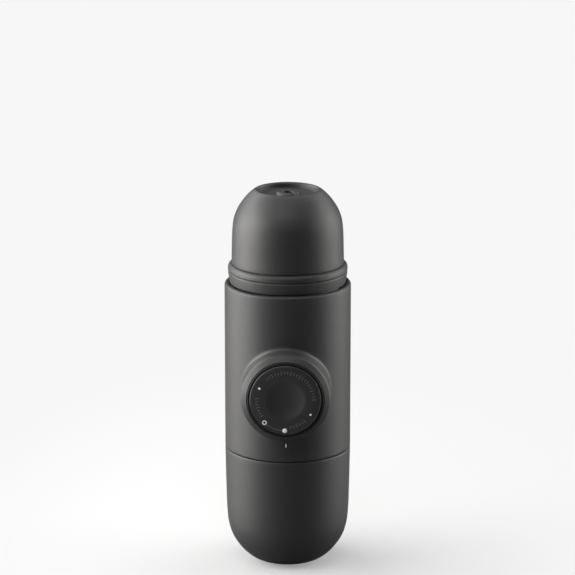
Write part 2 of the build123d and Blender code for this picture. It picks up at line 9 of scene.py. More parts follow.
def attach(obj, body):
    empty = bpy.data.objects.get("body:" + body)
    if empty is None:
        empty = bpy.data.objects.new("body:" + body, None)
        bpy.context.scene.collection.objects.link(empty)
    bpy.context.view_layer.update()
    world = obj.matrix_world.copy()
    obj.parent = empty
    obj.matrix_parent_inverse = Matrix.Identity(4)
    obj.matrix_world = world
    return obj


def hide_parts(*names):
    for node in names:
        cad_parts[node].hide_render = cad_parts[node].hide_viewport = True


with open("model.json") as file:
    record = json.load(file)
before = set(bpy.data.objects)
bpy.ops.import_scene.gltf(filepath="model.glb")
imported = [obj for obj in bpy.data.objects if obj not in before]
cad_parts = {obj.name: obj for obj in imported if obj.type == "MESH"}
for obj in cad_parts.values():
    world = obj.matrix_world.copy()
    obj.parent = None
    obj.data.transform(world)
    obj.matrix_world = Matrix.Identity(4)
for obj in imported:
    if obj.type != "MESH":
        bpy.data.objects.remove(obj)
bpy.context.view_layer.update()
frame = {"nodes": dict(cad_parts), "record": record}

MM = 0.001
scene = bpy.context.scene

# ------------------------------------------------------------------ sizes, mm, as in the CAD
R_BODY, R_BODY_IN, R_MOUTH = 29.0, 26.4, 26.5
Z_BODY_LOW, Z_BODY_TOP = 55.25, 133.0
Z_KNOB, Y_BOSS, Y_FACE = 88.0, -38.6, -39.5
R_BOSS, R_RING, R_SLEEVE_IN, R_KNOB = 20.3, 17.3, 16.35, 16.1
R_COLLAR, R_COLLAR_IN, Z_COLLAR = 25.8, 24.4, 67.6
Z_HEAD, Z_TOP, Z_SPLIT, Z_THREAD_LOW = 133.25, 176.5, 138.8, 125.9
R_ROOT, R_THREAD, PITCH = 24.7, 26.15, 3.9
RECESS_Z = Z_TOP - 2.3
SCOOP_Z = 111.6
WALL = 1.5


# ------------------------------------------------------------------ camera
def look_at(obj, target):
    d = Vector(target) - obj.location
    obj.rotation_euler = d.to_track_quat("-Z", "Y").to_euler()


CAM_AZ, CAM_EL, CAM_DIST = math.radians(1.6), math.radians(14.8), 1.30
cam_data = bpy.data.cameras.new("view_camera")
cam = bpy.data.objects.new("view_camera", cam_data)
scene.collection.objects.link(cam)
cam_data.sensor_width = 36.0
cam_data.lens = 178.0
cam_data.clip_start, cam_data.clip_end = 0.01, 50.0
target = Vector((0.0, -0.004, 0.1312))
back = Vector((math.sin(CAM_AZ) * math.cos(CAM_EL), -math.cos(CAM_AZ) * math.cos(CAM_EL), math.sin(CAM_EL)))
cam.location = target + back * CAM_DIST
look_at(cam, target)
scene.camera = cam
scene.view_settings.view_transform = "Standard"
scene.view_settings.look = "None"


# ------------------------------------------------------------------ outlines
def outline(points, per=8.0):
    """Closed outline with rounded corners: a point is (a, b) or (a, b, corner radius)."""
    n, out = len(points), []
    for i, p in enumerate(points):
        a = np.array(p[:2], float)
        r = p[2] if len(p) > 2 else 0
        if r == 0:
            out.append((a[0], a[1]))
            continue
        u = np.array(points[i - 1][:2], float) - a
        v = np.array(points[(i + 1) % n][:2], float) - a
        u, v = u / np.linalg.norm(u), v / np.linalg.norm(v)
        half = math.acos(max(-1, min(1, float(u @ v)))) / 2
        t = r / math.tan(half)
        c = a + (u + v) / np.linalg.norm(u + v) * (r / math.sin(half))
        s0, s1 = a + u * t - c, a + v * t - c
        a0, a1 = math.atan2(s0[1], s0[0]), math.atan2(s1[1], s1[0])
        turn = (a1 - a0 + math.pi) % (2 * math.pi) - math.pi
        k = max(3, int(math.ceil(abs(math.degrees(turn)) / per)))
        for j in range(k + 1):
            w = a0 + turn * j / k
            out.append((c[0] + r * math.cos(w), c[1] + r * math.sin(w)))
    return out


def smooth(points, per=6, t0=None, t1=None):
    """Open smooth line through the points (cubic Hermite)."""
    p = np.array(points, float)
    n = len(p)
    chord = np.concatenate([[0], np.cumsum(np.linalg.norm(np.diff(p, axis=0), axis=1))])
    tang = np.zeros_like(p)
    for i in range(1, n - 1):
        h0, h1 = chord[i] - chord[i - 1], chord[i + 1] - chord[i]
        d0, d1 = (p[i] - p[i - 1]) / h0, (p[i + 1] - p[i]) / h1
        tang[i] = (d0 * h1 + d1 * h0) / (h0 + h1)
    tang[0] = (p[1] - p[0]) / (chord[1] - chord[0]) if t0 is None else np.array(t0, float) / np.linalg.norm(t0)
    tang[-1] = (p[-1] - p[-2]) / (chord[-1] - chord[-2]) if t1 is None else np.array(t1, float) / np.linalg.norm(t1)
    out = []
    for i in range(n - 1):
        h = chord[i + 1] - chord[i]
        for j in range(per):
            t = j / per
            out.append(tuple((2 * t**3 - 3 * t**2 + 1) * p[i] + (t**3 - 2 * t**2 + t) * h * tang[i]
                             + (-2 * t**3 + 3 * t**2) * p[i + 1] + (t**3 - t**2) * h * tang[i + 1]))
    out.append(tuple(p[-1]))
    return out


def arc3(a, m, b, k=6):
    """Points of the arc a-m-b."""
    a, m, b = (np.array(q, float) for q in (a, m, b))
    d = 2 * (a[0] * (m[1] - b[1]) + m[0] * (b[1] - a[1]) + b[0] * (a[1] - m[1]))
    ux = ((a @ a) * (m[1] - b[1]) + (m @ m) * (b[1] - a[1]) + (b @ b) * (a[1] - m[1])) / d
    uy = ((a @ a) * (b[0] - m[0]) + (m @ m) * (a[0] - b[0]) + (b @ b) * (m[0] - a[0])) / d
    c = np.array([ux, uy])
    r = np.linalg.norm(a - c)
    w0, wm, w1 = (math.atan2(*(q - c)[::-1]) for q in (a, m, b))
    turn = (w1 - w0) % (2 * math.pi)
    if (wm - w0) % (2 * math.pi) > turn:
        turn -= 2 * math.pi
    return [(c[0] + r * math.cos(w0 + turn * j / k), c[1] + r * math.sin(w0 + turn * j / k)) for j in range(k + 1)]


def offset_curve(points, d):
    out = []
    for i, (a, b) in enumerate(points):
        a0, b0 = points[max(i - 1, 0)]
        a1, b1 = points[min(i + 1, len(points) - 1)]
        ta, tb = (1.0, 0.0) if i == 0 else (a1 - a0, b1 - b0)
        length = math.hypot(ta, tb)
        out.append((a - tb / length * d, b + ta / length * d))
    return out


# ------------------------------------------------------------------ mesh makers
def finish_mesh(name, verts, faces, sharp=32.0, mm=True):
    me = bpy.data.meshes.new(name)
    v = np.array(verts, float) * (MM if mm else 1.0)
    me.from_pydata([tuple(q) for q in v], [], faces)
    bm = bmesh.new()
    bm.from_mesh(me)
    bmesh.ops.remove_doubles(bm, verts=bm.verts, dist=1e-7)
    bmesh.ops.recalc_face_normals(bm, faces=bm.faces)
    bm.to_mesh(me)
    bm.free()
    for poly in me.polygons:
        poly.use_smooth = True
    me.set_sharp_from_angle(angle=math.radians(sharp))
    me.update()
    obj = bpy.data.objects.new(name, me)
    scene.collection.objects.link(obj)
    return obj


def lathe_data(profile, n=224, rfun=None, base=0, close=True):
    """Closed profile of (r, z) turned about Z. rfun(k, phi, r, z) may move a ring's points."""
    verts, rings = [], []
    phi = np.linspace(0, 2 * math.pi, n, endpoint=False)
    for k, (r, z) in enumerate(profile):
        if r < 1e-6:
            rings.append([base + len(verts)])
            verts.append((0.0, 0.0, z))
            continue
        rings.append(list(range(base + len(verts), base + len(verts) + n)))
        if rfun is None:
            rr, zz = np.full(n, r), np.full(n, z)
        else:
            rr, zz = rfun(k, phi, r, z)
        verts += list(zip(rr * np.cos(phi), rr * np.sin(phi), zz))
    faces = []
    m = len(profile)
    for k in range(m if close else m - 1):
        a, b = rings[k], rings[(k + 1) % m]
        if len(a) == 1 and len(b) == 1:
            continue
        for i in range(n):
            j = (i + 1) % n
            if len(a) == 1:
                faces.append((a[0], b[i], b[j]))
            elif len(b) == 1:
                faces.append((a[i], b[0], a[j]))
            else:
                faces.append((a[i], b[i], b[j], a[j]))
    return verts, faces


def lathe(name, profile, n=224, rfun=None, sharp=32.0):
    return finish_mesh(name, *lathe_data(profile, n, rfun), sharp=sharp)


def to_knob(verts):
    """Turned points (x, y, z) about Z become points about the knob's axis: z of the profile is y of the part."""
    v = np.array(verts, float)
    return np.stack([v[:, 0], v[:, 2], v[:, 1] + Z_KNOB], axis=1)


def lathe_y(name, profile, n=224, sharp=32.0):
    v, f = lathe_data(profile, n)
    return finish_mesh(name, to_knob(v), f, sharp=sharp)


def merge(name, parts, sharp=32.0):
    """Several (verts, faces) in one mesh."""
    verts, faces = [], []
    for v, f in parts:
        off = len(verts)
        verts += [tuple(q) for q in v]
        faces += [tuple(i + off for i in face) for face in f]
    return finish_mesh(name, verts, faces, sharp=sharp)


# ------------------------------------------------------------------ materials
def nodes_of(name):
    m = bpy.data.materials.new(name)
    m.use_nodes = True
    t = m.node_tree
    b = t.nodes["Principled BSDF"]
    return m, t, b


def add(t, kind, **kw):
    n = t.nodes.new(kind)
    for k, v in kw.items():
        if k in ("operation", "blend_type", "data_type", "noise_dimensions", "feature", "distance", "clamp", "interpolation", "wave_type", "bands_direction"):
            setattr(n, k, v)
        else:
            n.inputs[k].default_value = v
    return n


def moulded(name, base, rough=0.45, vary=0.12, grain=1700.0, grain_depth=0.012, wear=0.5, wear_tint=1.7, specular=0.5, coat=0.0, spread=0.05, sheen=0.0):
    """Moulded plastic or rubber: fine grain, faint handling marks, slightly lighter edges."""
    m, t, b = nodes_of(name)
    L = t.links.new
    coord = add(t, "ShaderNodeTexCoord")
    big = add(t, "ShaderNodeTexNoise", Scale=38.0, Detail=4.0, Roughness=0.55)
    fine = add(t, "ShaderNodeTexNoise", Scale=grain, Detail=2.0, Roughness=0.6)
    mid = add(t, "ShaderNodeTexNoise", Scale=260.0, Detail=5.0, Roughness=0.65)
    for n in (big, fine, mid):
        L(coord.outputs["Object"], n.inputs["Vector"])
    low = [c * (1 - vary) for c in base]
    high = [min(1.0, c * (1 + vary)) for c in base]
    mixc = add(t, "ShaderNodeMix", data_type="RGBA")
    mixc.inputs[6].default_value = (*low, 1)
    mixc.inputs[7].default_value = (*high, 1)
    L(big.outputs["Fac"], mixc.inputs[0])
    # edges catch a little wear
    geo = add(t, "ShaderNodeNewGeometry")
    ramp = add(t, "ShaderNodeMapRange")
    ramp.inputs["From Min"].default_value = 0.515
    ramp.inputs["From Max"].default_value = 0.60
    L(geo.outputs["Pointiness"], ramp.inputs["Value"])
    worn = add(t, "ShaderNodeMath", operation="MULTIPLY")
    L(ramp.outputs["Result"], worn.inputs[0])
    L(mid.outputs["Fac"], worn.inputs[1])
    worn2 = add(t, "ShaderNodeMath", operation="MULTIPLY")
    L(worn.outputs[0], worn2.inputs[0])
    worn2.inputs[1].default_value = wear
    mixw = add(t, "ShaderNodeMix", data_type="RGBA")
    L(worn2.outputs[0], mixw.inputs[0])
    L(mixc.outputs[2], mixw.inputs[6])
    mixw.inputs[7].default_value = (*[min(1.0, c * wear_tint + 0.01) for c in base], 1)
    L(mixw.outputs[2], b.inputs["Base Color"])
    # roughness
    rr = add(t, "ShaderNodeMapRange")
    rr.inputs["From Min"].default_value, rr.inputs["From Max"].default_value = 0.3, 0.7
    rr.inputs["To Min"].default_value, rr.inputs["To Max"].default_value = rough - spread, rough + spread
    L(mid.outputs["Fac"], rr.inputs["Value"])
    L(rr.outputs["Result"], b.inputs["Roughness"])
    # grain
    bump = add(t, "ShaderNodeBump", Strength=0.35, Distance=grain_depth * MM)
    L(fine.outputs["Fac"], bump.inputs["Height"])
    bump2 = add(t, "ShaderNodeBump", Strength=0.12, Distance=0.05 * MM)
    L(mid.outputs["Fac"], bump2.inputs["Height"])
    L(bump.outputs["Normal"], bump2.inputs["Normal"])
    L(bump2.outputs["Normal"], b.inputs["Normal"])
    b.inputs["Specular IOR Level"].default_value = specular
    b.inputs["IOR"].default_value = 1.48
    if coat:
        b.inputs["Coat Weight"].default_value = coat
        b.inputs["Coat Roughness"].default_value = 0.25
    if sheen:
        b.inputs["Sheen Weight"].default_value = sheen
        b.inputs["Sheen Roughness"].default_value = 0.4
    return m


def metal(name, base, rough=0.25, brushed=True):
    m, t, b = nodes_of(name)
    L = t.links.new
    coord = add(t, "ShaderNodeTexCoord")
    mapn = add(t, "ShaderNodeMapping")
    mapn.inputs["Scale"].default_value = (900, 900, 60) if brushed else (500, 500, 500)
    noise = add(t, "ShaderNodeTexNoise", Scale=1.0, Detail=3.0, Roughness=0.6)
    L(coord.outputs["Object"], mapn.inputs["Vector"])
    L(mapn.outputs["Vector"], noise.inputs["Vector"])
    mixc = add(t, "ShaderNodeMix", data_type="RGBA")
    mixc.inputs[6].default_value = (*[c * 0.88 for c in base], 1)
    mixc.inputs[7].default_value = (*base, 1)
    L(noise.outputs["Fac"], mixc.inputs[0])
    L(mixc.outputs[2], b.inputs["Base Color"])
    rr = add(t, "ShaderNodeMapRange")
    rr.inputs["To Min"].default_value, rr.inputs["To Max"].default_value = rough - 0.06, rough + 0.1
    L(noise.outputs["Fac"], rr.inputs["Value"])
    L(rr.outputs["Result"], b.inputs["Roughness"])
    bump = add(t, "ShaderNodeBump", Strength=0.15, Distance=0.02 * MM)
    L(noise.outputs["Fac"], bump.inputs["Height"])
    L(bump.outputs["Normal"], b.inputs["Normal"])
    b.inputs["Metallic"].default_value = 1.0
    return m


def coffee_material(name):
    m, t, b = nodes_of(name)
    L = t.links.new
    info = add(t, "ShaderNodeAttribute")
    info.attribute_name = "grain_tone"
    coord = add(t, "ShaderNodeTexCoord")
    noise = add(t, "ShaderNodeTexNoise", Scale=900.0, Detail=3.0, Roughness=0.7)
    L(coord.outputs["Object"], noise.inputs["Vector"])
    both = add(t, "ShaderNodeMath", operation="MULTIPLY_ADD")
    L(noise.outputs["Fac"], both.inputs[0])
    both.inputs[1].default_value = 0.5
    L(info.outputs["Fac"], both.inputs[2])
    ramp = add(t, "ShaderNodeValToRGB")
    ramp.color_ramp.elements[0].position = 0.2
    ramp.color_ramp.elements[0].color = (0.016, 0.0060, 0.0032, 1)
    ramp.color_ramp.elements[1].position = 1.15
    ramp.color_ramp.elements[1].color = (0.72, 0.26, 0.085, 1)
    e = ramp.color_ramp.elements.new(0.55)
    e.color = (0.19, 0.060, 0.021, 1)
    e = ramp.color_ramp.elements.new(0.85)
    e.color = (0.45, 0.150, 0.050, 1)
    L(both.outputs[0], ramp.inputs["Fac"])
    L(ramp.outputs["Color"], b.inputs["Base Color"])
    rr = add(t, "ShaderNodeMapRange")
    rr.inputs["To Min"].default_value, rr.inputs["To Max"].default_value = 0.55, 0.85
    L(noise.outputs["Fac"], rr.inputs["Value"])
    L(rr.outputs["Result"], b.inputs["Roughness"])
    bump = add(t, "ShaderNodeBump", Strength=0.6, Distance=0.15 * MM)
    L(noise.outputs["Fac"], bump.inputs["Height"])
    L(bump.outputs["Normal"], b.inputs["Normal"])
    b.inputs["Specular IOR Level"].default_value = 0.35
    return m


MAT = {
    "soft_grey": moulded("soft_touch_grey", (0.0195, 0.0195, 0.0200), rough=0.53, vary=0.03, spread=0.02, grain=2300, grain_depth=0.010),
    "collar_grey": moulded("collar_satin_grey", (0.016, 0.016, 0.0165), rough=0.42, vary=0.04, spread=0.02, grain=2000, grain_depth=0.008),
    # a lighter copy of the collar grey for the collar's inner wall: painted light inside the vessel
    "collar_inside_painted_light": moulded("collar_inside_painted_light", (0.042, 0.042, 0.0432), rough=0.6, vary=0.04, spread=0.02, specular=0.12, grain=2000, grain_depth=0.008),
    # lighter grey for the lugs, also used as a painted highlight line at the collar's foot
    "lug_tone_and_painted_highlight": moulded("lug_tone_and_painted_highlight", (0.16, 0.16, 0.163), rough=0.42, vary=0.04, wear=0.0, spread=0.02, specular=0.8),
    # a lighter copy of the body grey for the scoop: painted light, so the scoop reads as bright as the body
    "scoop_grey_painted_light": moulded("scoop_grey_painted_light", (0.029, 0.029, 0.0298), rough=0.50, vary=0.03, spread=0.02, specular=0.8, grain=2300, grain_depth=0.010),
    "inner_black": moulded("inner_black", (0.010, 0.010, 0.0106), rough=0.5, wear=0.25, specular=0.35),
    "mouth_black_and_painted_shade": moulded("mouth_black_and_painted_shade", (0.008, 0.008, 0.0085), rough=0.58, vary=0.05, wear=0.0, specular=0.25),
    # glossier satin grey for the threads; its lighter base is painted light standing in for the crests' highlights
    "thread_satin_painted_light": moulded("thread_grey_satin_painted_light", (0.034, 0.034, 0.0348), rough=0.36, vary=0.04, specular=0.7, grain=2000, grain_depth=0.006, spread=0.02),
    "pump_plastic": moulded("natural_plastic", (0.50, 0.49, 0.46), rough=0.42, vary=0.05, wear=0.2, wear_tint=1.2),
    "knob_black": moulded("knob_black", (0.0255, 0.0255, 0.0264), rough=0.44, vary=0.05, wear=0.3, wear_tint=1.8),
    "dial_black": moulded("dial_black", (0.0238, 0.0238, 0.0247), rough=0.40, vary=0.05, wear=0.0, grain_depth=0.006),
    "print_white": moulded("print_white", (0.82, 0.82, 0.81), rough=0.55, vary=0.05, wear=0.0),
    "print_grey": moulded("print_grey", (0.15, 0.15, 0.15), rough=0.55, vary=0.15, wear=0.0),
    "seal_rubber": moulded("seal_rubber", (0.022, 0.022, 0.022), rough=0.6, wear=0.2, grain_depth=0.02),
    "steel": metal("stainless", (0.62, 0.61, 0.60), rough=0.28),
    "coffee": coffee_material("ground_coffee"),
}

# every CAD node gets the material of its slot; the filter basket instead gets a near-black steel, painted shade so the
# mouth reads dark inside, and the outlet tube the inner black, painted shade in its hole
MAT["basket_painted_shade"] = metal("basket_steel_painted_shade", (0.016, 0.016, 0.017), rough=0.42)
LOOK = {"filter_basket": "basket_painted_shade", "outlet_tube": "inner_black"}
slot_of = {s["node"]: s.get("material_slot", s["node"]) for s in frame["record"]["subparts"]}
for node_name, obj in frame["nodes"].items():
    obj.data.materials.clear()
    obj.data.materials.append(MAT[LOOK.get(node_name, slot_of[node_name])])
    for poly in obj.data.polygons:
        poly.use_smooth = True
    obj.data.set_sharp_from_angle(angle=math.radians(25))


def place(obj, body, slot, *replaced, mat=None):
    obj.data.materials.clear()
    obj.data.materials.append(mat or MAT[slot])
    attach(obj, body)
    if replaced:
        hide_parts(*replaced)
    return obj


# ------------------------------------------------------------------ water tank
tank_curve = [(11.5, 0.0), (15.8, 1.15), (19.6, 3.7), (23.35, 7.9), (26.1, 12.6),
              (27.65, 18.0), (28.25, 24.0), (28.6, 34.0), (28.85, 46.0), (28.98, 54.3)]


def tank_offset(d, top):
    pts = offset_curve(tank_curve, d)
    return pts[:-1] + [(pts[-1][0], top)]


outer = smooth(tank_curve, 7, (1, 0), (0.012, 1))
ro = tank_curve[-1][0]
inner_pts = tank_offset(WALL, 54.6)
inner = smooth(inner_pts, 5, (1, 0), (0.012, 1))
ri = inner_pts[-1][0]
profile = [(0, 0), (8.5, 0), (8.6, 0.22), (9.1, 0.22), (9.2, 0), (10.6, 0)] + outer
profile += arc3((ro, 54.3), (ro - 0.2, 54.8), (ro - 0.7, 55.0), 6)[1:]
profile += arc3((ri + 0.4, 55.0), (ri + 0.12, 54.88), (ri, 54.6), 5)
profile += list(reversed(inner))[1:] + [(0, WALL)]
tank = lathe("tank_cup", profile, 288)
place(tank, "tank", "soft_grey", "tank_shell")

lo_pts, li_pts = tank_offset(WALL + 0.3, 54.1), tank_offset(WALL + 1.8, 52.6)
lo, li = smooth(lo_pts, 4, (1, 0), (0.012, 1)), smooth(li_pts, 5, (1, 0), (0.012, 1))
profile = [(0, WALL), (9.5, WALL), (9.5, WALL + 0.3)] + lo
profile += [(lo_pts[-1][0] - 0.15, 54.28), (lo_pts[-1][0] - 0.3, 54.33)]
profile += arc3((R_COLLAR + 1.05, 54.38), (R_COLLAR + 0.30, 54.68), (R_COLLAR, 55.43), 8)
profile += [(R_COLLAR, 60.0)]
profile += arc3((R_COLLAR, Z_COLLAR - 0.45), (R_COLLAR - 0.13, Z_COLLAR - 0.13), (R_COLLAR - 0.45, Z_COLLAR), 6)
profile += arc3((R_COLLAR_IN + 0.4, Z_COLLAR), (R_COLLAR_IN + 0.12, Z_COLLAR - 0.12), (R_COLLAR_IN, Z_COLLAR - 0.4), 6)
profile += [(R_COLLAR_IN, 60.0), (R_COLLAR_IN, 53.4), (R_COLLAR_IN + 0.12, 53.12), (R_COLLAR_IN + 0.35, 53.02)]
profile += list(reversed(li)) + [(0, WALL + 1.8)]
liner_data = lathe_data(profile, 256)


def curved_bar(mid_deg, span_deg, r_in, r_out, z_mid, rise, height, k=22, round_mm=0.3):
    """A slanted bar that follows a wall: a rounded section swept round the axis."""
    sec = outline([(r_in, -height / 2, round_mm), (r_out, -height / 2), (r_out, height / 2), (r_in, height / 2, round_mm)], 22)
    verts, faces = [], []
    m = len(sec)
    for i in range(k + 1):
        t = i / k
        a = math.radians(mid_deg + span_deg * (t - 0.5))
        taper = 1.0 if 0.06 < t < 0.94 else 0.55
        z = z_mid + rise * (t - 0.5)
        for r, dz in sec:
            rr = r_out - (r_out - r) * (0.6 + 0.4 * taper)
            verts.append((rr * math.cos(a), rr * math.sin(a), z + dz * taper))
    for i in range(k):
        for j in range(m):
            a0, a1 = i * m + j, i * m + (j + 1) % m
            faces.append((a0, a0 + m, a1 + m, a1))
    faces.append(tuple(range(m)))
    faces.append(tuple(reversed(range(k * m, (k + 1) * m))))
    return verts, faces


lugs = [curved_bar(deg, 19.5, 23.75, R_COLLAR_IN + 0.3, 58.8, 1.1, 1.0) for deg in (40, 140, 220, 320)]
liner = merge("tank_vessel", [liner_data] + lugs)
place(liner, "tank", "collar_grey", "tank_liner")
liner.data.materials.append(MAT["collar_inside_painted_light"])
liner.data.materials.append(MAT["lug_tone_and_painted_highlight"])
for poly in liner.data.polygons:
    c = poly.center
    r = math.hypot(c.x, c.y)
    # material 2: the lugs, and a painted highlight line round the edge at the collar's foot (z 52.9 to 53.45)
    if (c.z > 57.0 * MM and r < (R_COLLAR_IN - 0.08) * MM) or (52.9 * MM < c.z < 53.45 * MM and r < (R_COLLAR_IN + 0.3) * MM):
        poly.material_index = 2
    # the collar's inner wall takes the lighter grey: painted light
    elif c.z > 45.0 * MM and r < (R_COLLAR_IN + 0.5) * MM:
        poly.material_index = 1

# ------------------------------------------------------------------ main body shell, with the boss blended into the tube
N_A = 256                       # points round the boss
S_HALF, Z_HALF = 33.0, 28.5     # the patch round the boss on the unrolled tube, mm
alpha = np.linspace(0, 2 * math.pi, N_A, endpoint=False) + math.pi / N_A


def rect_points(radius):
    """Where each direction from the boss's centre meets the patch's edge: (unrolled s, z)."""
    c, s = np.cos(alpha), np.sin(alpha)
    with np.errstate(divide="ignore"):
        k = np.minimum(np.abs(S_HALF / np.where(c == 0, 1e-9, c)), np.abs(Z_HALF / np.where(s == 0, 1e-9, s)))
    return np.stack([c * k, s * k], axis=1)


edge = rect_points(R_BODY)
# make the patch's edge points shared by opposite sides, so that they are grid lines of the tube
top = np.abs(np.abs(edge[:, 1]) - Z_HALF) < 1e-6
side = ~top
s_lines = np.unique(np.round(edge[top][:, 0], 6))
z_lines = np.unique(np.round(edge[side][:, 1], 6))


def wall_points(R, s, z):
    """Unrolled (s, z) to a point on the tube of radius R; s is measured at R_BODY."""
    a = s / R_BODY
    return np.stack([R * np.sin(a), -R * np.cos(a), z], axis=1)


def tube_with_hole(R, rows_below, rows_above, ring_pts, steps, verts, faces, cols_back):
    """Tube wall of radius R with a round hole whose rim is ring_pts. Returns the ids of its lowest and highest rows and of the hole's rim."""
    s_grid = np.concatenate([[-S_HALF], s_lines, [S_HALF]])
    back = np.linspace(S_HALF, 2 * math.pi * R_BODY - S_HALF, cols_back + 2)[1:-1]
    cols = np.concatenate([s_grid, back])
    zc = np.concatenate([[Z_KNOB - Z_HALF], Z_KNOB + z_lines, [Z_KNOB + Z_HALF]])
    zs = np.concatenate([rows_below, zc, rows_above])
    first_c, last_c = len(rows_below), len(rows_below) + len(zc) - 1
    nf = len(s_grid)
    ids = np.full((len(zs), len(cols)), -1)
    for i, z in enumerate(zs):
        for j, s in enumerate(cols):
            if first_c < i < last_c and 0 < j < nf - 1:
                continue
            ids[i, j] = len(verts)
            verts.append(tuple(wall_points(R, np.array([s]), np.array([z]))[0]))
    for i in range(len(zs) - 1):
        for j in range(len(cols)):
            k = (j + 1) % len(cols)
            if first_c <= i < last_c and j < nf - 1:
                continue
            faces.append((ids[i, j], ids[i, k], ids[i + 1, k], ids[i + 1, j]))
    # ids of the patch's edge in the order of alpha, with the four corners inserted
    loop = []
    for q in range(N_A):
        s, z = edge[q]
        if top[q]:
            j = 1 + int(np.argmin(np.abs(s_lines - s)))
            i = last_c if z > 0 else first_c
        else:
            i = first_c + 1 + int(np.argmin(np.abs(z_lines - z)))
            j = nf - 1 if s > 0 else 0
        loop.append(ids[i, j])
    corner = {(1, 1): ids[last_c, nf - 1], (-1, 1): ids[last_c, 0], (-1, -1): ids[first_c, 0], (1, -1): ids[first_c, nf - 1]}
    # rings between the hole and the patch's edge
    ring_sz = np.stack([np.arctan2(ring_pts[:, 0], -ring_pts[:, 1]) * R_BODY, ring_pts[:, 2] - Z_KNOB], axis=1)
    prev = list(range(len(verts), len(verts) + N_A))
    verts += [tuple(p) for p in ring_pts]
    rim = list(prev)
    for t in range(1, steps):
        w = t / steps
        w = w ** 1.25
        sz = ring_sz * (1 - w) + edge * w
        pts = wall_points(R, sz[:, 0], sz[:, 1] + Z_KNOB)
        now = list(range(len(verts), len(verts) + N_A))
        verts += [tuple(p) for p in pts]
        for q in range(N_A):
            k = (q + 1) % N_A
            faces.append((prev[q], prev[k], now[k], now[q]))
        prev = now
    for q in range(N_A):
        k = (q + 1) % N_A
        if top[q] != top[k]:
            sx = 1 if (edge[q][0] + edge[k][0]) > 0 else -1
            sz_ = 1 if (edge[q][1] + edge[k][1]) > 0 else -1
            faces.append((prev[q], prev[k], loop[k], corner[(sx, sz_)], loop[q]))
        else:
            faces.append((prev[q], prev[k], loop[k], loop[q]))
    return ids[0], ids[-1], rim, cols


def on_tube(R, rho):
    """Circle of radius rho round the knob's axis, laid on the front of the tube."""
    x, z = rho * np.cos(alpha), rho * np.sin(alpha)
    return np.stack([x, -np.sqrt(R * R - x * x), Z_KNOB + z], axis=1)


verts, faces = [], []
BLEND = 2.0                     # radius of the concave blend between tube and boss
ball_x, ball_z = (R_BOSS + BLEND) * np.cos(alpha), (R_BOSS + BLEND) * np.sin(alpha)
ball_y = -np.sqrt((R_BODY + BLEND) ** 2 - ball_x ** 2)
ball = np.stack([ball_x, ball_y, ball_z], axis=1)
to_tube = -np.stack([ball_x, ball_y, 0 * ball_x], axis=1) / (R_BODY + BLEND)
to_boss = -np.stack([np.cos(alpha), 0 * alpha, np.sin(alpha)], axis=1)
between = np.arccos(np.clip((to_tube * to_boss).sum(1), -1, 1))


def blend_ring(w):
    """Ring of the rolling-ball blend: w = 0 lies on the tube, w = 1 on the boss."""
    k0 = (np.sin((1 - w) * between) / np.sin(between))[:, None]
    k1 = (np.sin(w * between) / np.sin(between))[:, None]
    return ball + BLEND * (k0 * to_tube + k1 * to_boss) + np.array([0, 0, Z_KNOB])


outer_ring = blend_ring(0.0)
rows_b = np.array([Z_BODY_LOW + 0.5, 56.6, 57.6, 58.6])
rows_a = np.array([118.5, 121.5, 125.0, 128.5, 131.9])
lo_out, hi_out, rim_out, cols = tube_with_hole(R_BODY, rows_b, rows_a, outer_ring, 7, verts, faces, 150)

# boss: from the tube through the concave blend, up the wall, over the sloped lip and into the bore
lip = outline([(R_BOSS, -20.0), (R_BOSS, -36.5, 1.5), (R_RING + 0.16, Y_BOSS - 0.12, 0.25), (R_RING + 0.04, Y_BOSS + 0.35), (R_RING + 0.04, -20.0)], 7.0)[1:-1]
prev = rim_out
N_BL = 10
for step in range(1, N_BL + 1):
    now = list(range(len(verts), len(verts) + N_A))
    verts += [tuple(p) for p in blend_ring(step / N_BL)]
    for q in range(N_A):
        k = (q + 1) % N_A
        faces.append((prev[q], prev[k], now[k], now[q]))
    prev = now
# from the blend's end up the wall to the lip
start_y = np.array([verts[i][1] for i in prev])
for w in (0.35, 0.7):
    y_to = lip[0][1]
    rr = R_BOSS
    now = list(range(len(verts), len(verts) + N_A))
    verts += [(rr * math.cos(a), start_y[q] * (1 - w) + y_to * w, Z_KNOB + rr * math.sin(a)) for q, a in enumerate(alpha)]
    for q in range(N_A):
        k = (q + 1) % N_A
        faces.append((prev[q], prev[k], now[k], now[q]))
    prev = now
for r, y in lip:
    now = list(range(len(verts), len(verts) + N_A))
    verts += [(r * math.cos(a), y, Z_KNOB + r * math.sin(a)) for a in alpha]
    for q in range(N_A):
        k = (q + 1) % N_A
        faces.append((prev[q], prev[k], now[k], now[q]))
    prev = now
bore_rim = prev
# inner wall with its hole; the bore joins the two
inner_ring = on_tube(R_BODY_IN, R_RING + 0.04)
rows_bi = np.array([56.0, 57.6, 58.6])
rows_ai = np.array([118.5, 121.8])
lo_in, hi_in, rim_in, _ = tube_with_hole(R_BODY_IN, rows_bi, rows_ai, inner_ring, 4, verts, faces, 150)
for q in range(N_A):
    k = (q + 1) % N_A
    faces.append((bore_rim[q], bore_rim[k], rim_in[k], rim_in[q]))


def row_ring(r, z, wave=None):
    a = cols / R_BODY
    rr = np.full(len(cols), r) if wave is None else wave(a, r, z)
    now = list(range(len(verts), len(verts) + len(cols)))
    for j in range(len(cols)):
        verts.append((rr[j] * math.sin(a[j]), -rr[j] * math.cos(a[j]), z))
    return now


def join_rows(a, b):
    n = len(a)
    for j in range(n):
        k = (j + 1) % n
        faces.append((a[j], a[k], b[k], b[j]))


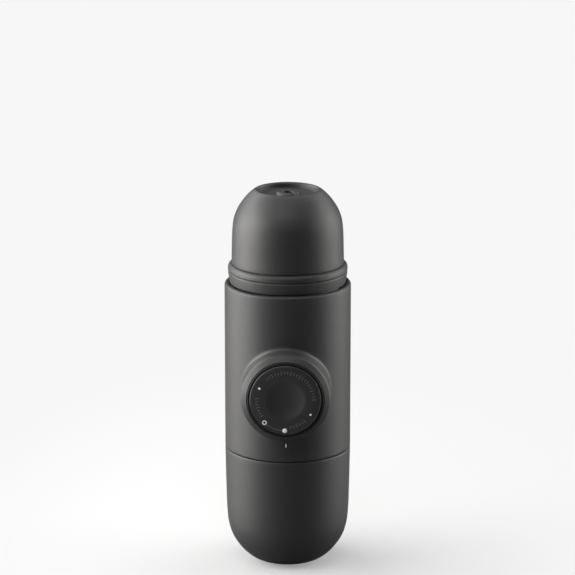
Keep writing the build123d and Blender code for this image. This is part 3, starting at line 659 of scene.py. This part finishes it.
# lower rim
prev = list(lo_out)
for r, z in arc3((R_BODY, Z_BODY_LOW + 0.5), (R_BODY - 0.15, Z_BODY_LOW + 0.15), (R_BODY - 0.5, Z_BODY_LOW), 6)[1:] + [(R_BODY_IN + 0.3, Z_BODY_LOW), (R_BODY_IN, Z_BODY_LOW + 0.3)]:
    now = row_ring(r, z)
    join_rows(prev, now)
    prev = now
join_rows(prev, list(lo_in))
# upper rim and the threaded mouth
prev = list(hi_out)
for r, z in arc3((R_BODY, Z_BODY_TOP - 1.1), (R_BODY - 0.32, Z_BODY_TOP - 0.32), (R_BODY - 1.1, Z_BODY_TOP), 9)[1:] + [(R_MOUTH + 0.75, Z_BODY_TOP), (R_MOUTH + 0.35, Z_BODY_TOP - 0.12), (R_MOUTH + 0.1, Z_BODY_TOP - 0.4)]:
    now = row_ring(r, z)
    join_rows(prev, now)
    prev = now


def groove(a, r, z):
    """Helical groove in the mouth; a is the angle from -Y towards +X."""
    centre = 124.6 + PITCH * ((np.degrees(a) - 60.0) / 360.0)
    d = (z - centre + PITCH / 2) % PITCH - PITCH / 2
    turn = (z - d - 124.6) / PITCH
    depth = np.clip((0.85 - np.abs(d)) / 0.6, 0, 1)
    depth = depth * depth * (3 - 2 * depth)
    depth = depth * np.clip((z - 123.2) / 0.6, 0, 1) * np.clip((132.2 - z) / 0.6, 0, 1)
    return r + 0.7 * depth


for z in np.linspace(132.3, 122.4, 112):
    now = row_ring(R_MOUTH, float(z), groove)
    join_rows(prev, now)
    prev = now
now = row_ring(R_BODY_IN, 122.1)
join_rows(prev, now)
join_rows(now, list(hi_in))
body = finish_mesh("body_tube", verts, faces, sharp=38.0)
place(body, "main_unit", "soft_grey", "body_shell")
body.data.materials.append(MAT["mouth_black_and_painted_shade"])      # the threaded mouth is moulded in black
for poly in body.data.polygons:
    c = poly.center
    if c.z > 121.9 * MM and math.hypot(c.x, c.y) < 27.3 * MM and c.z < (Z_BODY_TOP - 0.15) * MM:
        poly.material_index = 1

# index mark below the knob: a small inlaid bar that follows the tube
iv, if_ = [], []
w_half, z0, z1 = 0.24, 62.5, 64.3
K = 6
for r in (28.85, 29.02):
    for zz in (z0, z0 + 0.12, z1 - 0.12, z1):
        for j in range(K + 1):
            s = -w_half + 2 * w_half * j / K
            pinch = 0.75 if zz in (z0, z1) else 1.0
            a = s * pinch / 29.0
            iv.append((r * math.sin(a), -r * math.cos(a), zz))
n_row = K + 1
for i in range(3):
    for j in range(K):
        for layer in (0, 1):
            o = layer * 4 * n_row
            q = (o + i * n_row + j, o + i * n_row + j + 1, o + (i + 1) * n_row + j + 1, o + (i + 1) * n_row + j)
            if_.append(q)
ring_ids = [j for j in range(n_row)] + [i * n_row + K for i in range(1, 4)] + [3 * n_row + j for j in range(K - 1, -1, -1)] + [i * n_row for i in (2, 1)]
for i in range(len(ring_ids)):
    a, b = ring_ids[i], ring_ids[(i + 1) % len(ring_ids)]
    if_.append((a, b, b + 4 * n_row, a + 4 * n_row))
mark = finish_mesh("index_bar", iv, if_)
place(mark, "main_unit", "print_white", "index_mark")

# ------------------------------------------------------------------ knob and its guide
sleeve = lathe_y("knob_guide", outline([(R_SLEEVE_IN, -39.0, 0.25), (R_RING, -39.0, 0.4), (R_RING, -16.0), (4.9, -16.0), (4.9, -17.6), (R_SLEEVE_IN, -17.6)]), 224)
place(sleeve, "main_unit", "knob_black", "knob_sleeve", mat=MAT["mouth_black_and_painted_shade"])

dish_r, dish_deep, dish_edge = 9.5, 1.55, 1.1     # a spherical dish that rolls over into the flat face


def dish_y(r):
    """Depth of the dish at radius r, below the face."""
    flat = dish_r - dish_edge
    slope = 2 * dish_deep / (flat * flat + flat * dish_edge)      # of a parabola that meets the roll-over
    if r >= dish_r:
        return 0.0
    if r > flat:
        return slope * flat / (2 * dish_edge) * (dish_r - r) ** 2
    return slope * flat * dish_edge / 2 + slope / 2 * (flat * flat - r * r)


face_prof = [(0.0, Y_FACE + dish_y(0.0))] + [(float(r), Y_FACE + dish_y(float(r))) for r in np.linspace(0, dish_r, 30)[1:]]
face_prof += [(9.95, Y_FACE + 0.004)]
face_prof += [(15.52, Y_FACE + 0.01), (15.6, Y_FACE + 0.08), (15.66, Y_FACE + 0.02)]
face_prof += outline([(15.0, Y_FACE), (R_KNOB, Y_FACE, 0.4), (R_KNOB, -30.0)], 14)[1:-1]
face_prof += [(R_KNOB, -30.0), (R_KNOB, -19.8), (R_KNOB - 0.2, -19.6), (R_KNOB - 1.1, -19.6), (R_KNOB - 1.3, -19.8), (R_KNOB - 1.3, -36.9),
              (6.3, -36.9), (6.3, -28.6), (4.05, -28.6), (4.05, -36.5), (0.0, -36.5)]
knob = lathe_y("knob_cup", face_prof, 256, sharp=28)
place(knob, "knob", "knob_black", "knob_cap")

dial = lathe_y("dial_face", [(9.93, Y_FACE + 0.010), (10.3, Y_FACE - 0.006), (11.0, Y_FACE - 0.008), (15.42, Y_FACE - 0.008), (15.5, Y_FACE + 0.012), (15.5, Y_FACE + 0.4), (9.93, Y_FACE + 0.4)], 256)
place(dial, "knob", "dial_black", "knob_dial_ring")


def dial_xz(r, deg):
    return r * math.cos(math.radians(deg)), Z_KNOB + r * math.sin(math.radians(deg))


def dot(r, deg, radius, hole=0.0, n=40):
    x, z = dial_xz(r, deg)
    y0, y1 = Y_FACE - 0.03, Y_FACE + 0.15
    if hole:
        prof = [(hole, y0), (radius, y0), (radius, y1), (hole, y1)]
    else:
        prof = [(0, y0), (radius - 0.04, y0), (radius, y0 + 0.02), (radius, y1), (0, y1)]
    v, f = lathe_data(prof, n)
    v = np.array(v)
    return np.stack([v[:, 0] + x, v[:, 2], v[:, 1] + z], axis=1), f


def dial_arc(r, d0, d1, width, k=24):
    v, f = [], []
    y0, y1 = Y_FACE - 0.03, Y_FACE + 0.15
    for i in range(k + 1):
        a = math.radians(d0 + (d1 - d0) * i / k)
        for rr, y in ((r - width / 2, y0), (r + width / 2, y0), (r + width / 2, y1), (r - width / 2, y1)):
            v.append((rr * math.cos(a), y, Z_KNOB + rr * math.sin(a)))
    for i in range(k):
        for j in range(4):
            a0, a1 = 4 * i + j, 4 * i + (j + 1) % 4
            f.append((a0, a0 + 4, a1 + 4, a1))
    f.append((0, 1, 2, 3))
    f.append((4 * k + 3, 4 * k + 2, 4 * k + 1, 4 * k))
    return v, f


def tick(r, deg, long, wide):
    v = []
    a = math.radians(deg)
    ur, ut = np.array([math.cos(a), math.sin(a)]), np.array([-math.sin(a), math.cos(a)])
    c = ur * r
    y0, y1 = Y_FACE - 0.03, Y_FACE + 0.15
    for y in (y0, y1):
        for p, q in ((-1, -1), (1, -1), (1, 1), (-1, 1)):
            w = c + ur * p * long / 2 + ut * q * wide / 2
            v.append((w[0], y, Z_KNOB + w[1]))
    f = [(0, 1, 2, 3), (7, 6, 5, 4), (0, 4, 5, 1), (1, 5, 6, 2), (2, 6, 7, 3), (3, 7, 4, 0)]
    return v, f


bright = [dot(14.2, -91, 1.05), dot(14.05, -132, 1.05, 0.62), dot(12.9, 154.6, 0.56), dot(13.1, -30, 0.5)]
marks = merge("dial_dots", bright)
place(marks, "knob", "print_white", "knob_marks")
dim = [dial_arc(14.15, -126.0, -96.0, 0.16)]
degs = [2 + 6.4 * k for k in range(21)] + [176 + 6.4 * k for k in range(7)] + [-79 + 6.4 * k for k in range(6)]
for n, deg in enumerate(degs):
    dim.append(tick(12.9, deg, 1.9 if n % 3 == 0 else 1.2, 0.22))
ticks = merge("dial_scale", dim)
place(ticks, "knob", "print_grey", "knob_ticks")

# ------------------------------------------------------------------ outlet head
dome_curve = [(25.72, Z_TOP - 33.6), (25.6, Z_TOP - 27.8), (25.5, Z_TOP - 23.0), (25.26, Z_TOP - 18.2), (24.58, Z_TOP - 13.4), (23.79, Z_TOP - 11.0),
              (22.7, Z_TOP - 8.66), (21.33, Z_TOP - 6.51), (19.62, Z_TOP - 4.21), (17.4, Z_TOP - 1.9), (15.2, Z_TOP - 0.25)]


def dome_offset(d):
    out = []
    for i, (a, b) in enumerate(dome_curve):
        a0, b0 = dome_curve[max(i - 1, 0)]
        a1, b1 = dome_curve[min(i + 1, len(dome_curve) - 1)]
        ta, tb = a1 - a0, b1 - b0
        length = math.hypot(ta, tb)
        out.append((a - tb / length * d, b + ta / length * d))
    return out


din = [p for p in dome_offset(1.8) if p[1] < 171.5]
profile = [(24.2, Z_SPLIT), (26.8, Z_SPLIT)]
profile += arc3((26.8, Z_SPLIT), (27.22, Z_SPLIT + 0.16), (27.4, Z_SPLIT + 0.58), 6)[1:]
profile += [(27.39, Z_SPLIT + 0.95)]
profile += arc3((27.36, Z_SPLIT + 1.3), (27.13, Z_SPLIT + 2.45), (26.4, Z_SPLIT + 3.15), 8)
profile += [(26.12, Z_SPLIT + 3.27), (25.82, Z_SPLIT + 3.33), (25.5, Z_SPLIT + 3.36), (25.36, Z_SPLIT + 3.44), (25.36, Z_SPLIT + 3.60),
            (25.5, Z_SPLIT + 3.70), (25.68, Z_SPLIT + 3.78), (25.72, Z_TOP - 33.6)]
profile += smooth(dome_curve, 6, (-0.01, 1), (-1, 0.42))[1:]
profile += arc3((15.2, Z_TOP - 0.25), (14.55, Z_TOP), (13.95, Z_TOP - 0.28), 6)[1:]
profile += [(13.66, Z_TOP - 0.6), (13.55, Z_TOP - 1.0), (13.55, RECESS_Z + 0.35), (13.45, RECESS_Z + 0.1), (13.2, RECESS_Z), (9.0, RECESS_Z), (4.3, RECESS_Z), (4.3, RECESS_Z - 1.6), (din[-1][0], RECESS_Z - 1.6)]
profile += list(reversed(smooth(din, 4))) + [(24.2, 140.6)]
dome = lathe("head_dome_shell", profile, 256)
place(dome, "outlet_head", "soft_grey", "head_dome")

GAPS = (-90 - 69, -90 + 69, 90)


ring_prof = outline([(23.4, Z_HEAD), (26.62, Z_HEAD, 0.5), (27.34, Z_SPLIT - 0.7, 0.5), (26.8, Z_SPLIT - 0.06), (23.4, Z_SPLIT - 0.06)], 10)
foot = lathe("head_foot_ring", ring_prof, 288)
place(foot, "outlet_head", "soft_grey", "head_thread_ring")

CREST = 1.65                    # half the height of a thread ridge


def ridge(k, deg0, deg1, soft0=1.0, soft1=1.0):
    """One length of thread between two gaps: a rounded section swept up the helix. soft0 and soft1 are how far its ends roll over, degrees."""
    def centre(deg):
        return 127.42 + PITCH * (k + (deg + 90.0) / 360.0)

    def room(deg):
        return max(centre(deg) - CREST, Z_THREAD_LOW + 0.04), min(centre(deg) + CREST, Z_HEAD + 0.02)
    sec = outline([(-0.35, -1), (1.0, -1, 0.20), (1.0, 1, 0.20), (-0.35, 1)], 18)
    degs = [d for d in np.arange(deg0, deg1 + 1e-6, 1.5) if room(d)[1] - room(d)[0] > 1.5]
    if len(degs) < 4:
        return None
    lo, hi = degs[0], degs[-1]
    near = np.array([0.0, 0.06, 0.2, 0.4, 0.7, 1.0])
    stations = sorted(set([round(lo + q * soft0, 4) for q in near] + [round(hi - q * soft1, 4) for q in near] + [round(d, 4) for d in degs if lo + soft0 + 0.2 < d < hi - soft1 - 0.2]))
    v, f = [], []
    m = len(sec)
    for d in stations:
        end = min((d - lo) / soft0, (hi - d) / soft1)
        high = 1.0 if end >= 1 else 0.12 + 0.88 * math.sqrt(max(0.0, 1 - (1 - end) ** 2))
        z0, z1 = room(d)
        a = math.radians(d)
        shrink = 0.9 + 0.1 * min(1.0, end)
        for q, w in sec:
            r = R_ROOT + (R_THREAD - R_ROOT) * (q if q < 0 else q * high) + (0.05 * (1 - w * w) if q > 0.9 else 0)
            z = (z0 + z1) / 2 + w * (z1 - z0) / 2 * shrink
            v.append((r * math.cos(a), r * math.sin(a), z))
    n = len(stations)
    for i in range(n - 1):
        for j in range(m):
            f.append((i * m + j, (i + 1) * m + j, (i + 1) * m + (j + 1) % m, i * m + (j + 1) % m))
    f.append(tuple(range(m)))
    f.append(tuple(reversed(range((n - 1) * m, n * m))))
    return v, f


sleeve_prof = outline([(23.4, Z_THREAD_LOW, 0.3), (R_ROOT, Z_THREAD_LOW, 0.18), (R_ROOT, Z_HEAD + 0.1), (23.4, Z_HEAD + 0.1)], 15)
ridges = []
gap_half = 1.05 / 26.0 * 180 / math.pi
for k in (-1, 0, 1, 2):
    for g0, g1 in ((-159.0, -21.0), (-21.0, 90.0), (-270.0, -159.0)):
        made = ridge(k, g0 + gap_half, g1 - gap_half, 4.5 if g0 == -21.0 else 1.0, 4.5 if g1 == -159.0 else 1.0)
        if made:
            ridges.append(made)
nibs = []
for g in GAPS:
    a = math.radians(g)
    c, s = math.cos(a), math.sin(a)
    prof = outline([(24.35, 125.1, 0.15), (25.15, 125.1, 0.15), (25.15, 126.9, 0.15), (24.35, 126.9, 0.15)], 30)
    v, f = [], []
    for t in (-0.45, -0.3, 0.3, 0.45):
        shrink = 0.75 if abs(t) > 0.4 else 1.0
        for r, z in prof:
            rr, zz = 24.75 + (r - 24.75) * shrink, 126.0 + (z - 126.0) * shrink
            v.append((rr * c - t * s, rr * s + t * c, zz))
    m = len(prof)
    for i in range(3):
        for j in range(m):
            f.append((i * m + j, i * m + (j + 1) % m, (i + 1) * m + (j + 1) % m, (i + 1) * m + j))
    f.append(tuple(range(m)))
    f.append(tuple(reversed(range(3 * m, 4 * m))))
    nibs.append((v, f))
screw = merge("head_screw_sleeve", [lathe_data(sleeve_prof, 256)] + ridges + nibs, sharp=40)
# the ridges' lighter base is painted light; their glossier finish is real
place(screw, "outlet_head", "collar_grey", mat=MAT["thread_satin_painted_light"])
screw.data.materials.append(MAT["mouth_black_and_painted_shade"])     # the root of the thread is painted black as painted shade between the crests; the nibs and the lower edge below 125.88 mm get the same black
for poly in screw.data.polygons:
    c = poly.center
    if math.hypot(c.x, c.y) < (R_ROOT + 0.06) * MM or c.z < 125.88 * MM:
        poly.material_index = 1

# small outlet in the recess on top
spout_prof = outline([(2.0, 171.0), (3.25, 171.0), (3.25, 171.6), (4.25, 171.6), (4.25, RECESS_Z + 0.02), (5.4, RECESS_Z + 0.02), (5.2, RECESS_Z + 0.5, 0.3), (4.3, RECESS_Z + 1.05, 0.35), (2.3, RECESS_Z + 1.05, 0.3), (2.0, RECESS_Z + 0.3)], 12)
NOTCH = -50.0


def spout_r(k, phi, r, z):
    rr, zz = np.full(len(phi), r), np.full(len(phi), z)
    if z > RECESS_Z + 0.35 and r > 1.9:
        off = np.abs((np.degrees(phi) - NOTCH + 180) % 360 - 180)
        dip = np.clip((22 - off) / 5, 0, 1)
        zz = zz - dip * (z - (RECESS_Z + 0.35)) * 0.9
    return rr, zz


spout = lathe("outlet_nozzle", spout_prof, 192, spout_r)
place(spout, "outlet_head", "soft_grey", "spout_insert")
spout.data.materials.append(MAT["mouth_black_and_painted_shade"])     # the bore and the notch are painted dark: painted shade in the hole and on the notch's floor
for poly in spout.data.polygons:
    c = poly.center
    off = abs((math.degrees(math.atan2(c.y, c.x)) - NOTCH + 180) % 360 - 180)
    if math.hypot(c.x, c.y) < 2.15 * MM or (off < 19 and c.z > (RECESS_Z + 0.1) * MM and math.hypot(c.x, c.y) < 4.6 * MM):
        poly.material_index = 1

# ------------------------------------------------------------------ scoop and ground coffee
scoop_outer = outline([(0, SCOOP_Z), (16.9, SCOOP_Z, 9.5), (19.4, SCOOP_Z + 25.3, 0.45), (18.15, SCOOP_Z + 25.3, 0.45), (15.75, SCOOP_Z + 1.3, 8.4), (0, SCOOP_Z + 1.3)], 6.0)
scoop = lathe("dose_scoop", scoop_outer, 224)
# the scoop's lighter grey is painted light
place(scoop, "scoop", "soft_grey", "scoop", mat=MAT["scoop_grey_painted_light"])

rng = np.random.default_rng(7)


def scoop_inner_r(z):
    """Inner radius of the scoop at height z above its foot."""
    h = z - SCOOP_Z
    if h >= 9.7:
        return 15.75 + (18.15 - 15.75) * (h - 1.3) / 24.0
    c_r, c_z = 15.75 - 8.4 + 0.4, 1.3 + 8.4
    return c_r + math.sqrt(max(0.0, 8.4 ** 2 - (c_z - h) ** 2))


def heap_z(x, y):
    """Top of the coffee: a low uneven heap, a little lower at the back right."""
    r = math.hypot(x, y)
    z = SCOOP_Z + 24.0 - 0.9 * (r / 18.0) ** 2.2
    z -= 3.4 * max(0.0, (x * 0.75 + y * 0.66) / 18.0) ** 1.7
    z += 0.32 * math.sin(x * 0.55 + 1.3) * math.cos(y * 0.48 - 0.4) + 0.18 * math.sin(x * 1.3 + y * 0.9)
    return z


# bed of coffee under the grains
bed_rows = []
N_BED = 96
bed_v, bed_f = [], []
radii = np.linspace(0, 1, 26)[1:]
bed_v.append((0, 0, heap_z(0, 0) - 0.3))
for q in radii:
    for i in range(N_BED):
        a = 2 * math.pi * i / N_BED
        rr = 17.75 * q
        x, y = rr * math.cos(a), rr * math.sin(a)
        z = heap_z(x, y) - 0.3 + 0.16 * math.sin(5.1 * x + 2.3 * y) * math.cos(4.3 * y - 1.7 * x)
        lim = scoop_inner_r(z) - 0.12
        if rr > lim:
            x, y = lim * math.cos(a), lim * math.sin(a)
        bed_v.append((x, y, z))
for i in range(N_BED):
    bed_f.append((0, 1 + i, 1 + (i + 1) % N_BED))
for k in range(len(radii) - 1):
    for i in range(N_BED):
        j = (i + 1) % N_BED
        bed_f.append((1 + k * N_BED + i, 1 + (k + 1) * N_BED + i, 1 + (k + 1) * N_BED + j, 1 + k * N_BED + j))
last = 1 + (len(radii) - 1) * N_BED
for depth in (20.0, 15.0, 10.0, 6.5, 4.0, 2.4):
    z = SCOOP_Z + depth
    base = len(bed_v)
    rr = scoop_inner_r(z) - 0.12
    for i in range(N_BED):
        a = 2 * math.pi * i / N_BED
        bed_v.append((rr * math.cos(a), rr * math.sin(a), z))
    for i in range(N_BED):
        j = (i + 1) % N_BED
        bed_f.append((last + i, base + i, base + j, last + j))
    last = base
bed_v.append((0, 0, SCOOP_Z + 1.5))
for i in range(N_BED):
    bed_f.append((last + i, len(bed_v) - 1, last + (i + 1) % N_BED))
bed = finish_mesh("coffee_bed", bed_v, bed_f, sharp=60)
tone = bed.data.attributes.new("grain_tone", "FLOAT", "POINT")
tone.data.foreach_set("value", np.full(len(bed.data.vertices), 0.34, np.float32))
place(bed, "scoop", "coffee", "coffee_grounds")

# loose grains: small irregular chips laid over the heap
chip_v = np.array([(1, 0, 0), (-1, 0, 0), (0, 1, 0), (0, -1, 0), (0, 0, 1), (0, 0, -1),
                   (0.62, 0.62, 0.3), (-0.62, 0.55, -0.35), (0.5, -0.6, -0.4), (-0.55, -0.6, 0.35)], float)


def chip(rng):
    """One irregular grain: the hull of a few jittered points."""
    bm = bmesh.new()
    pts = chip_v * (1 + rng.uniform(-0.28, 0.28, (len(chip_v), 1)))
    for p in pts:
        bm.verts.new(p)
    bmesh.ops.convex_hull(bm, input=bm.verts)
    bmesh.ops.delete(bm, geom=[v for v in bm.verts if not v.link_faces], context="VERTS")
    bm.verts.index_update()
    v = np.array([tuple(q.co) for q in bm.verts])
    f = [tuple(q.index for q in face.verts) for face in bm.faces]
    bm.free()
    return v, f


kinds = [chip(rng) for _ in range(24)]
gv, gf, gt = [], [], []
COUNT = 5200
for i in range(COUNT):
    rad = 17.55 * math.sqrt(rng.uniform(0, 1))
    a = rng.uniform(0, 2 * math.pi)
    x, y = rad * math.cos(a), rad * math.sin(a)
    size = 0.22 + 0.36 * rng.beta(1.5, 3.6)
    z = heap_z(x, y) - 0.18 + rng.uniform(-0.22, 0.26)
    lim = scoop_inner_r(z) - 0.1 - size
    if rad > lim:
        x, y = lim * math.cos(a), lim * math.sin(a)
    v, f = kinds[rng.integers(0, len(kinds))]
    q = rng.normal(size=4)
    q /= np.linalg.norm(q)
    w, qx, qy, qz = q
    R = np.array([[1 - 2 * (qy * qy + qz * qz), 2 * (qx * qy - qz * w), 2 * (qx * qz + qy * w)],
                  [2 * (qx * qy + qz * w), 1 - 2 * (qx * qx + qz * qz), 2 * (qy * qz - qx * w)],
                  [2 * (qx * qz - qy * w), 2 * (qy * qz + qx * w), 1 - 2 * (qx * qx + qy * qy)]])
    pts = (v * size * rng.uniform(0.7, 1.25, 3)) @ R.T + np.array([x, y, z])
    off = len(gv)
    gv += [tuple(p) for p in pts]
    gf += [tuple(j + off for j in face) for face in f]
    gt += [float(np.clip(rng.normal(0.56, 0.22), 0, 1))] * len(pts)
me = bpy.data.meshes.new("coffee_grains")
me.from_pydata([tuple(np.array(p) * MM) for p in gv], [], gf)
at = me.attributes.new("grain_tone", "FLOAT", "POINT")
at.data.foreach_set("value", np.array(gt, np.float32))
grains = bpy.data.objects.new("coffee_grains", me)
scene.collection.objects.link(grains)
place(grains, "scoop", "coffee")

# ------------------------------------------------------------------ studio
def make_floor():
    rings = [0.0] + list(np.geomspace(0.02, 2.6, 34))
    v, f = [(0, 0, -0.0002)], []
    n = 96
    for r in rings[1:]:
        for i in range(n):
            a = 2 * math.pi * i / n
            v.append((r * math.cos(a), r * math.sin(a), -0.0002))
    for i in range(n):
        f.append((0, 1 + i, 1 + (i + 1) % n))
    for k in range(len(rings) - 2):
        for i in range(n):
            j = (i + 1) % n
            f.append((1 + k * n + i, 1 + (k + 1) * n + i, 1 + (k + 1) * n + j, 1 + k * n + j))
    me = bpy.data.meshes.new("studio_floor")
    me.from_pydata(v, [], f)
    me.update()
    o = bpy.data.objects.new("studio_floor", me)
    scene.collection.objects.link(o)
    m, t, b = nodes_of("studio_floor")
    L = t.links.new
    coord = add(t, "ShaderNodeTexCoord")
    sep = add(t, "ShaderNodeVectorMath", operation="LENGTH")
    L(coord.outputs["Object"], sep.inputs[0])
    fade = add(t, "ShaderNodeMapRange")
    fade.interpolation_type = "SMOOTHSTEP"
    fade.inputs["From Min"].default_value, fade.inputs["From Max"].default_value = 0.35, 1.5
    fade.inputs["To Min"].default_value, fade.inputs["To Max"].default_value = 0.75, 1.0
    L(sep.outputs["Value"], fade.inputs["Value"])
    b.inputs["Base Color"].default_value = (0.56, 0.56, 0.564, 1)
    b.inputs["Roughness"].default_value = 0.55
    b.inputs["Specular IOR Level"].default_value = 0.25
    # what the floor throws back fades out with distance; what the eye sees fades into the pale background
    clear = add(t, "ShaderNodeBsdfTransparent")
    mix = add(t, "ShaderNodeMixShader")
    L(fade.outputs["Result"], mix.inputs[0])
    L(b.outputs[0], mix.inputs[1])
    L(clear.outputs[0], mix.inputs[2])
    wide = add(t, "ShaderNodeVectorMath", operation="MULTIPLY")
    L(coord.outputs["Object"], wide.inputs[0])
    wide.inputs[1].default_value = (2.0, 1.0, 1.0)
    far = add(t, "ShaderNodeVectorMath", operation="LENGTH")
    L(wide.outputs["Vector"], far.inputs[0])
    seen = add(t, "ShaderNodeMapRange")
    seen.interpolation_type = "SMOOTHSTEP"
    seen.inputs["From Min"].default_value, seen.inputs["From Max"].default_value = 0.05, 0.38
    seen.inputs["To Min"].default_value, seen.inputs["To Max"].default_value = 0.30, 1.0
    L(far.outputs["Value"], seen.inputs["Value"])
    pale = add(t, "ShaderNodeEmission", Color=(0.93, 0.93, 0.935, 1), Strength=1.0)
    front = add(t, "ShaderNodeMixShader")
    L(seen.outputs["Result"], front.inputs[0])
    L(b.outputs[0], front.inputs[1])
    L(pale.outputs[0], front.inputs[2])
    path = add(t, "ShaderNodeLightPath")
    pick = add(t, "ShaderNodeMixShader")
    L(path.outputs["Is Camera Ray"], pick.inputs[0])
    L(mix.outputs[0], pick.inputs[1])
    L(front.outputs[0], pick.inputs[2])
    L(pick.outputs[0], t.nodes["Material Output"].inputs["Surface"])
    me.materials.append(m)
    return o


make_floor()


def softbox(name, loc, aim, size, power, color=(1, 1, 1)):
    d = bpy.data.lights.new(name, "AREA")
    d.shape = "RECTANGLE"
    d.size, d.size_y = size
    d.energy = power
    d.color = color
    o = bpy.data.objects.new(name, d)
    scene.collection.objects.link(o)
    o.location = loc
    look_at(o, aim)
    o.visible_camera = False
    return o


def round_the_object(phi, dist, z):
    """phi is measured from the front, to the right."""
    return (dist * math.sin(math.radians(phi)), -dist * math.cos(math.radians(phi)), z)


softbox("left_softbox", round_the_object(-89, 0.85, 0.26), (0, 0, 0.07), (1.0, 1.0), 28.8, (1.0, 0.988, 0.962))
softbox("right_softbox", round_the_object(102, 0.95, 0.26), (0, 0, 0.07), (0.86, 1.0), 14.6, (1.0, 0.988, 0.965))
softbox("front_softbox", round_the_object(-8, 0.8, 1.25), (0, 0, 0.10), (0.9, 0.6), 5.4)
softbox("back_left_softbox", round_the_object(-138, 0.95, 0.80), (0, 0, 0.14), (0.6, 0.5), 5.5)
softbox("back_right_softbox", round_the_object(140, 0.95, 0.80), (0, 0, 0.14), (0.6, 0.5), 2.6)
softbox("top_softbox", (0.0, 0.18, 1.15), (0, 0, 0.05), (1.1, 0.9), 4.5)

world = bpy.data.worlds.new("studio_world")
scene.world = world
world.use_nodes = True
wt = world.node_tree
wn = wt.nodes
bg = wn["Background"]
bg.inputs["Color"].default_value = (0.93, 0.93, 0.935, 1)
bg.inputs["Strength"].default_value = 1.0
dark = wn.new("ShaderNodeBackground")
dark.inputs["Color"].default_value = (0.9, 0.92, 0.95, 1)
dark.inputs["Strength"].default_value = 0.012
lp = wn.new("ShaderNodeLightPath")
mixw = wn.new("ShaderNodeMixShader")
wt.links.new(lp.outputs["Is Camera Ray"], mixw.inputs[0])
wt.links.new(dark.outputs[0], mixw.inputs[1])
wt.links.new(bg.outputs[0], mixw.inputs[2])
wt.links.new(mixw.outputs[0], wn["World Output"].inputs["Surface"])
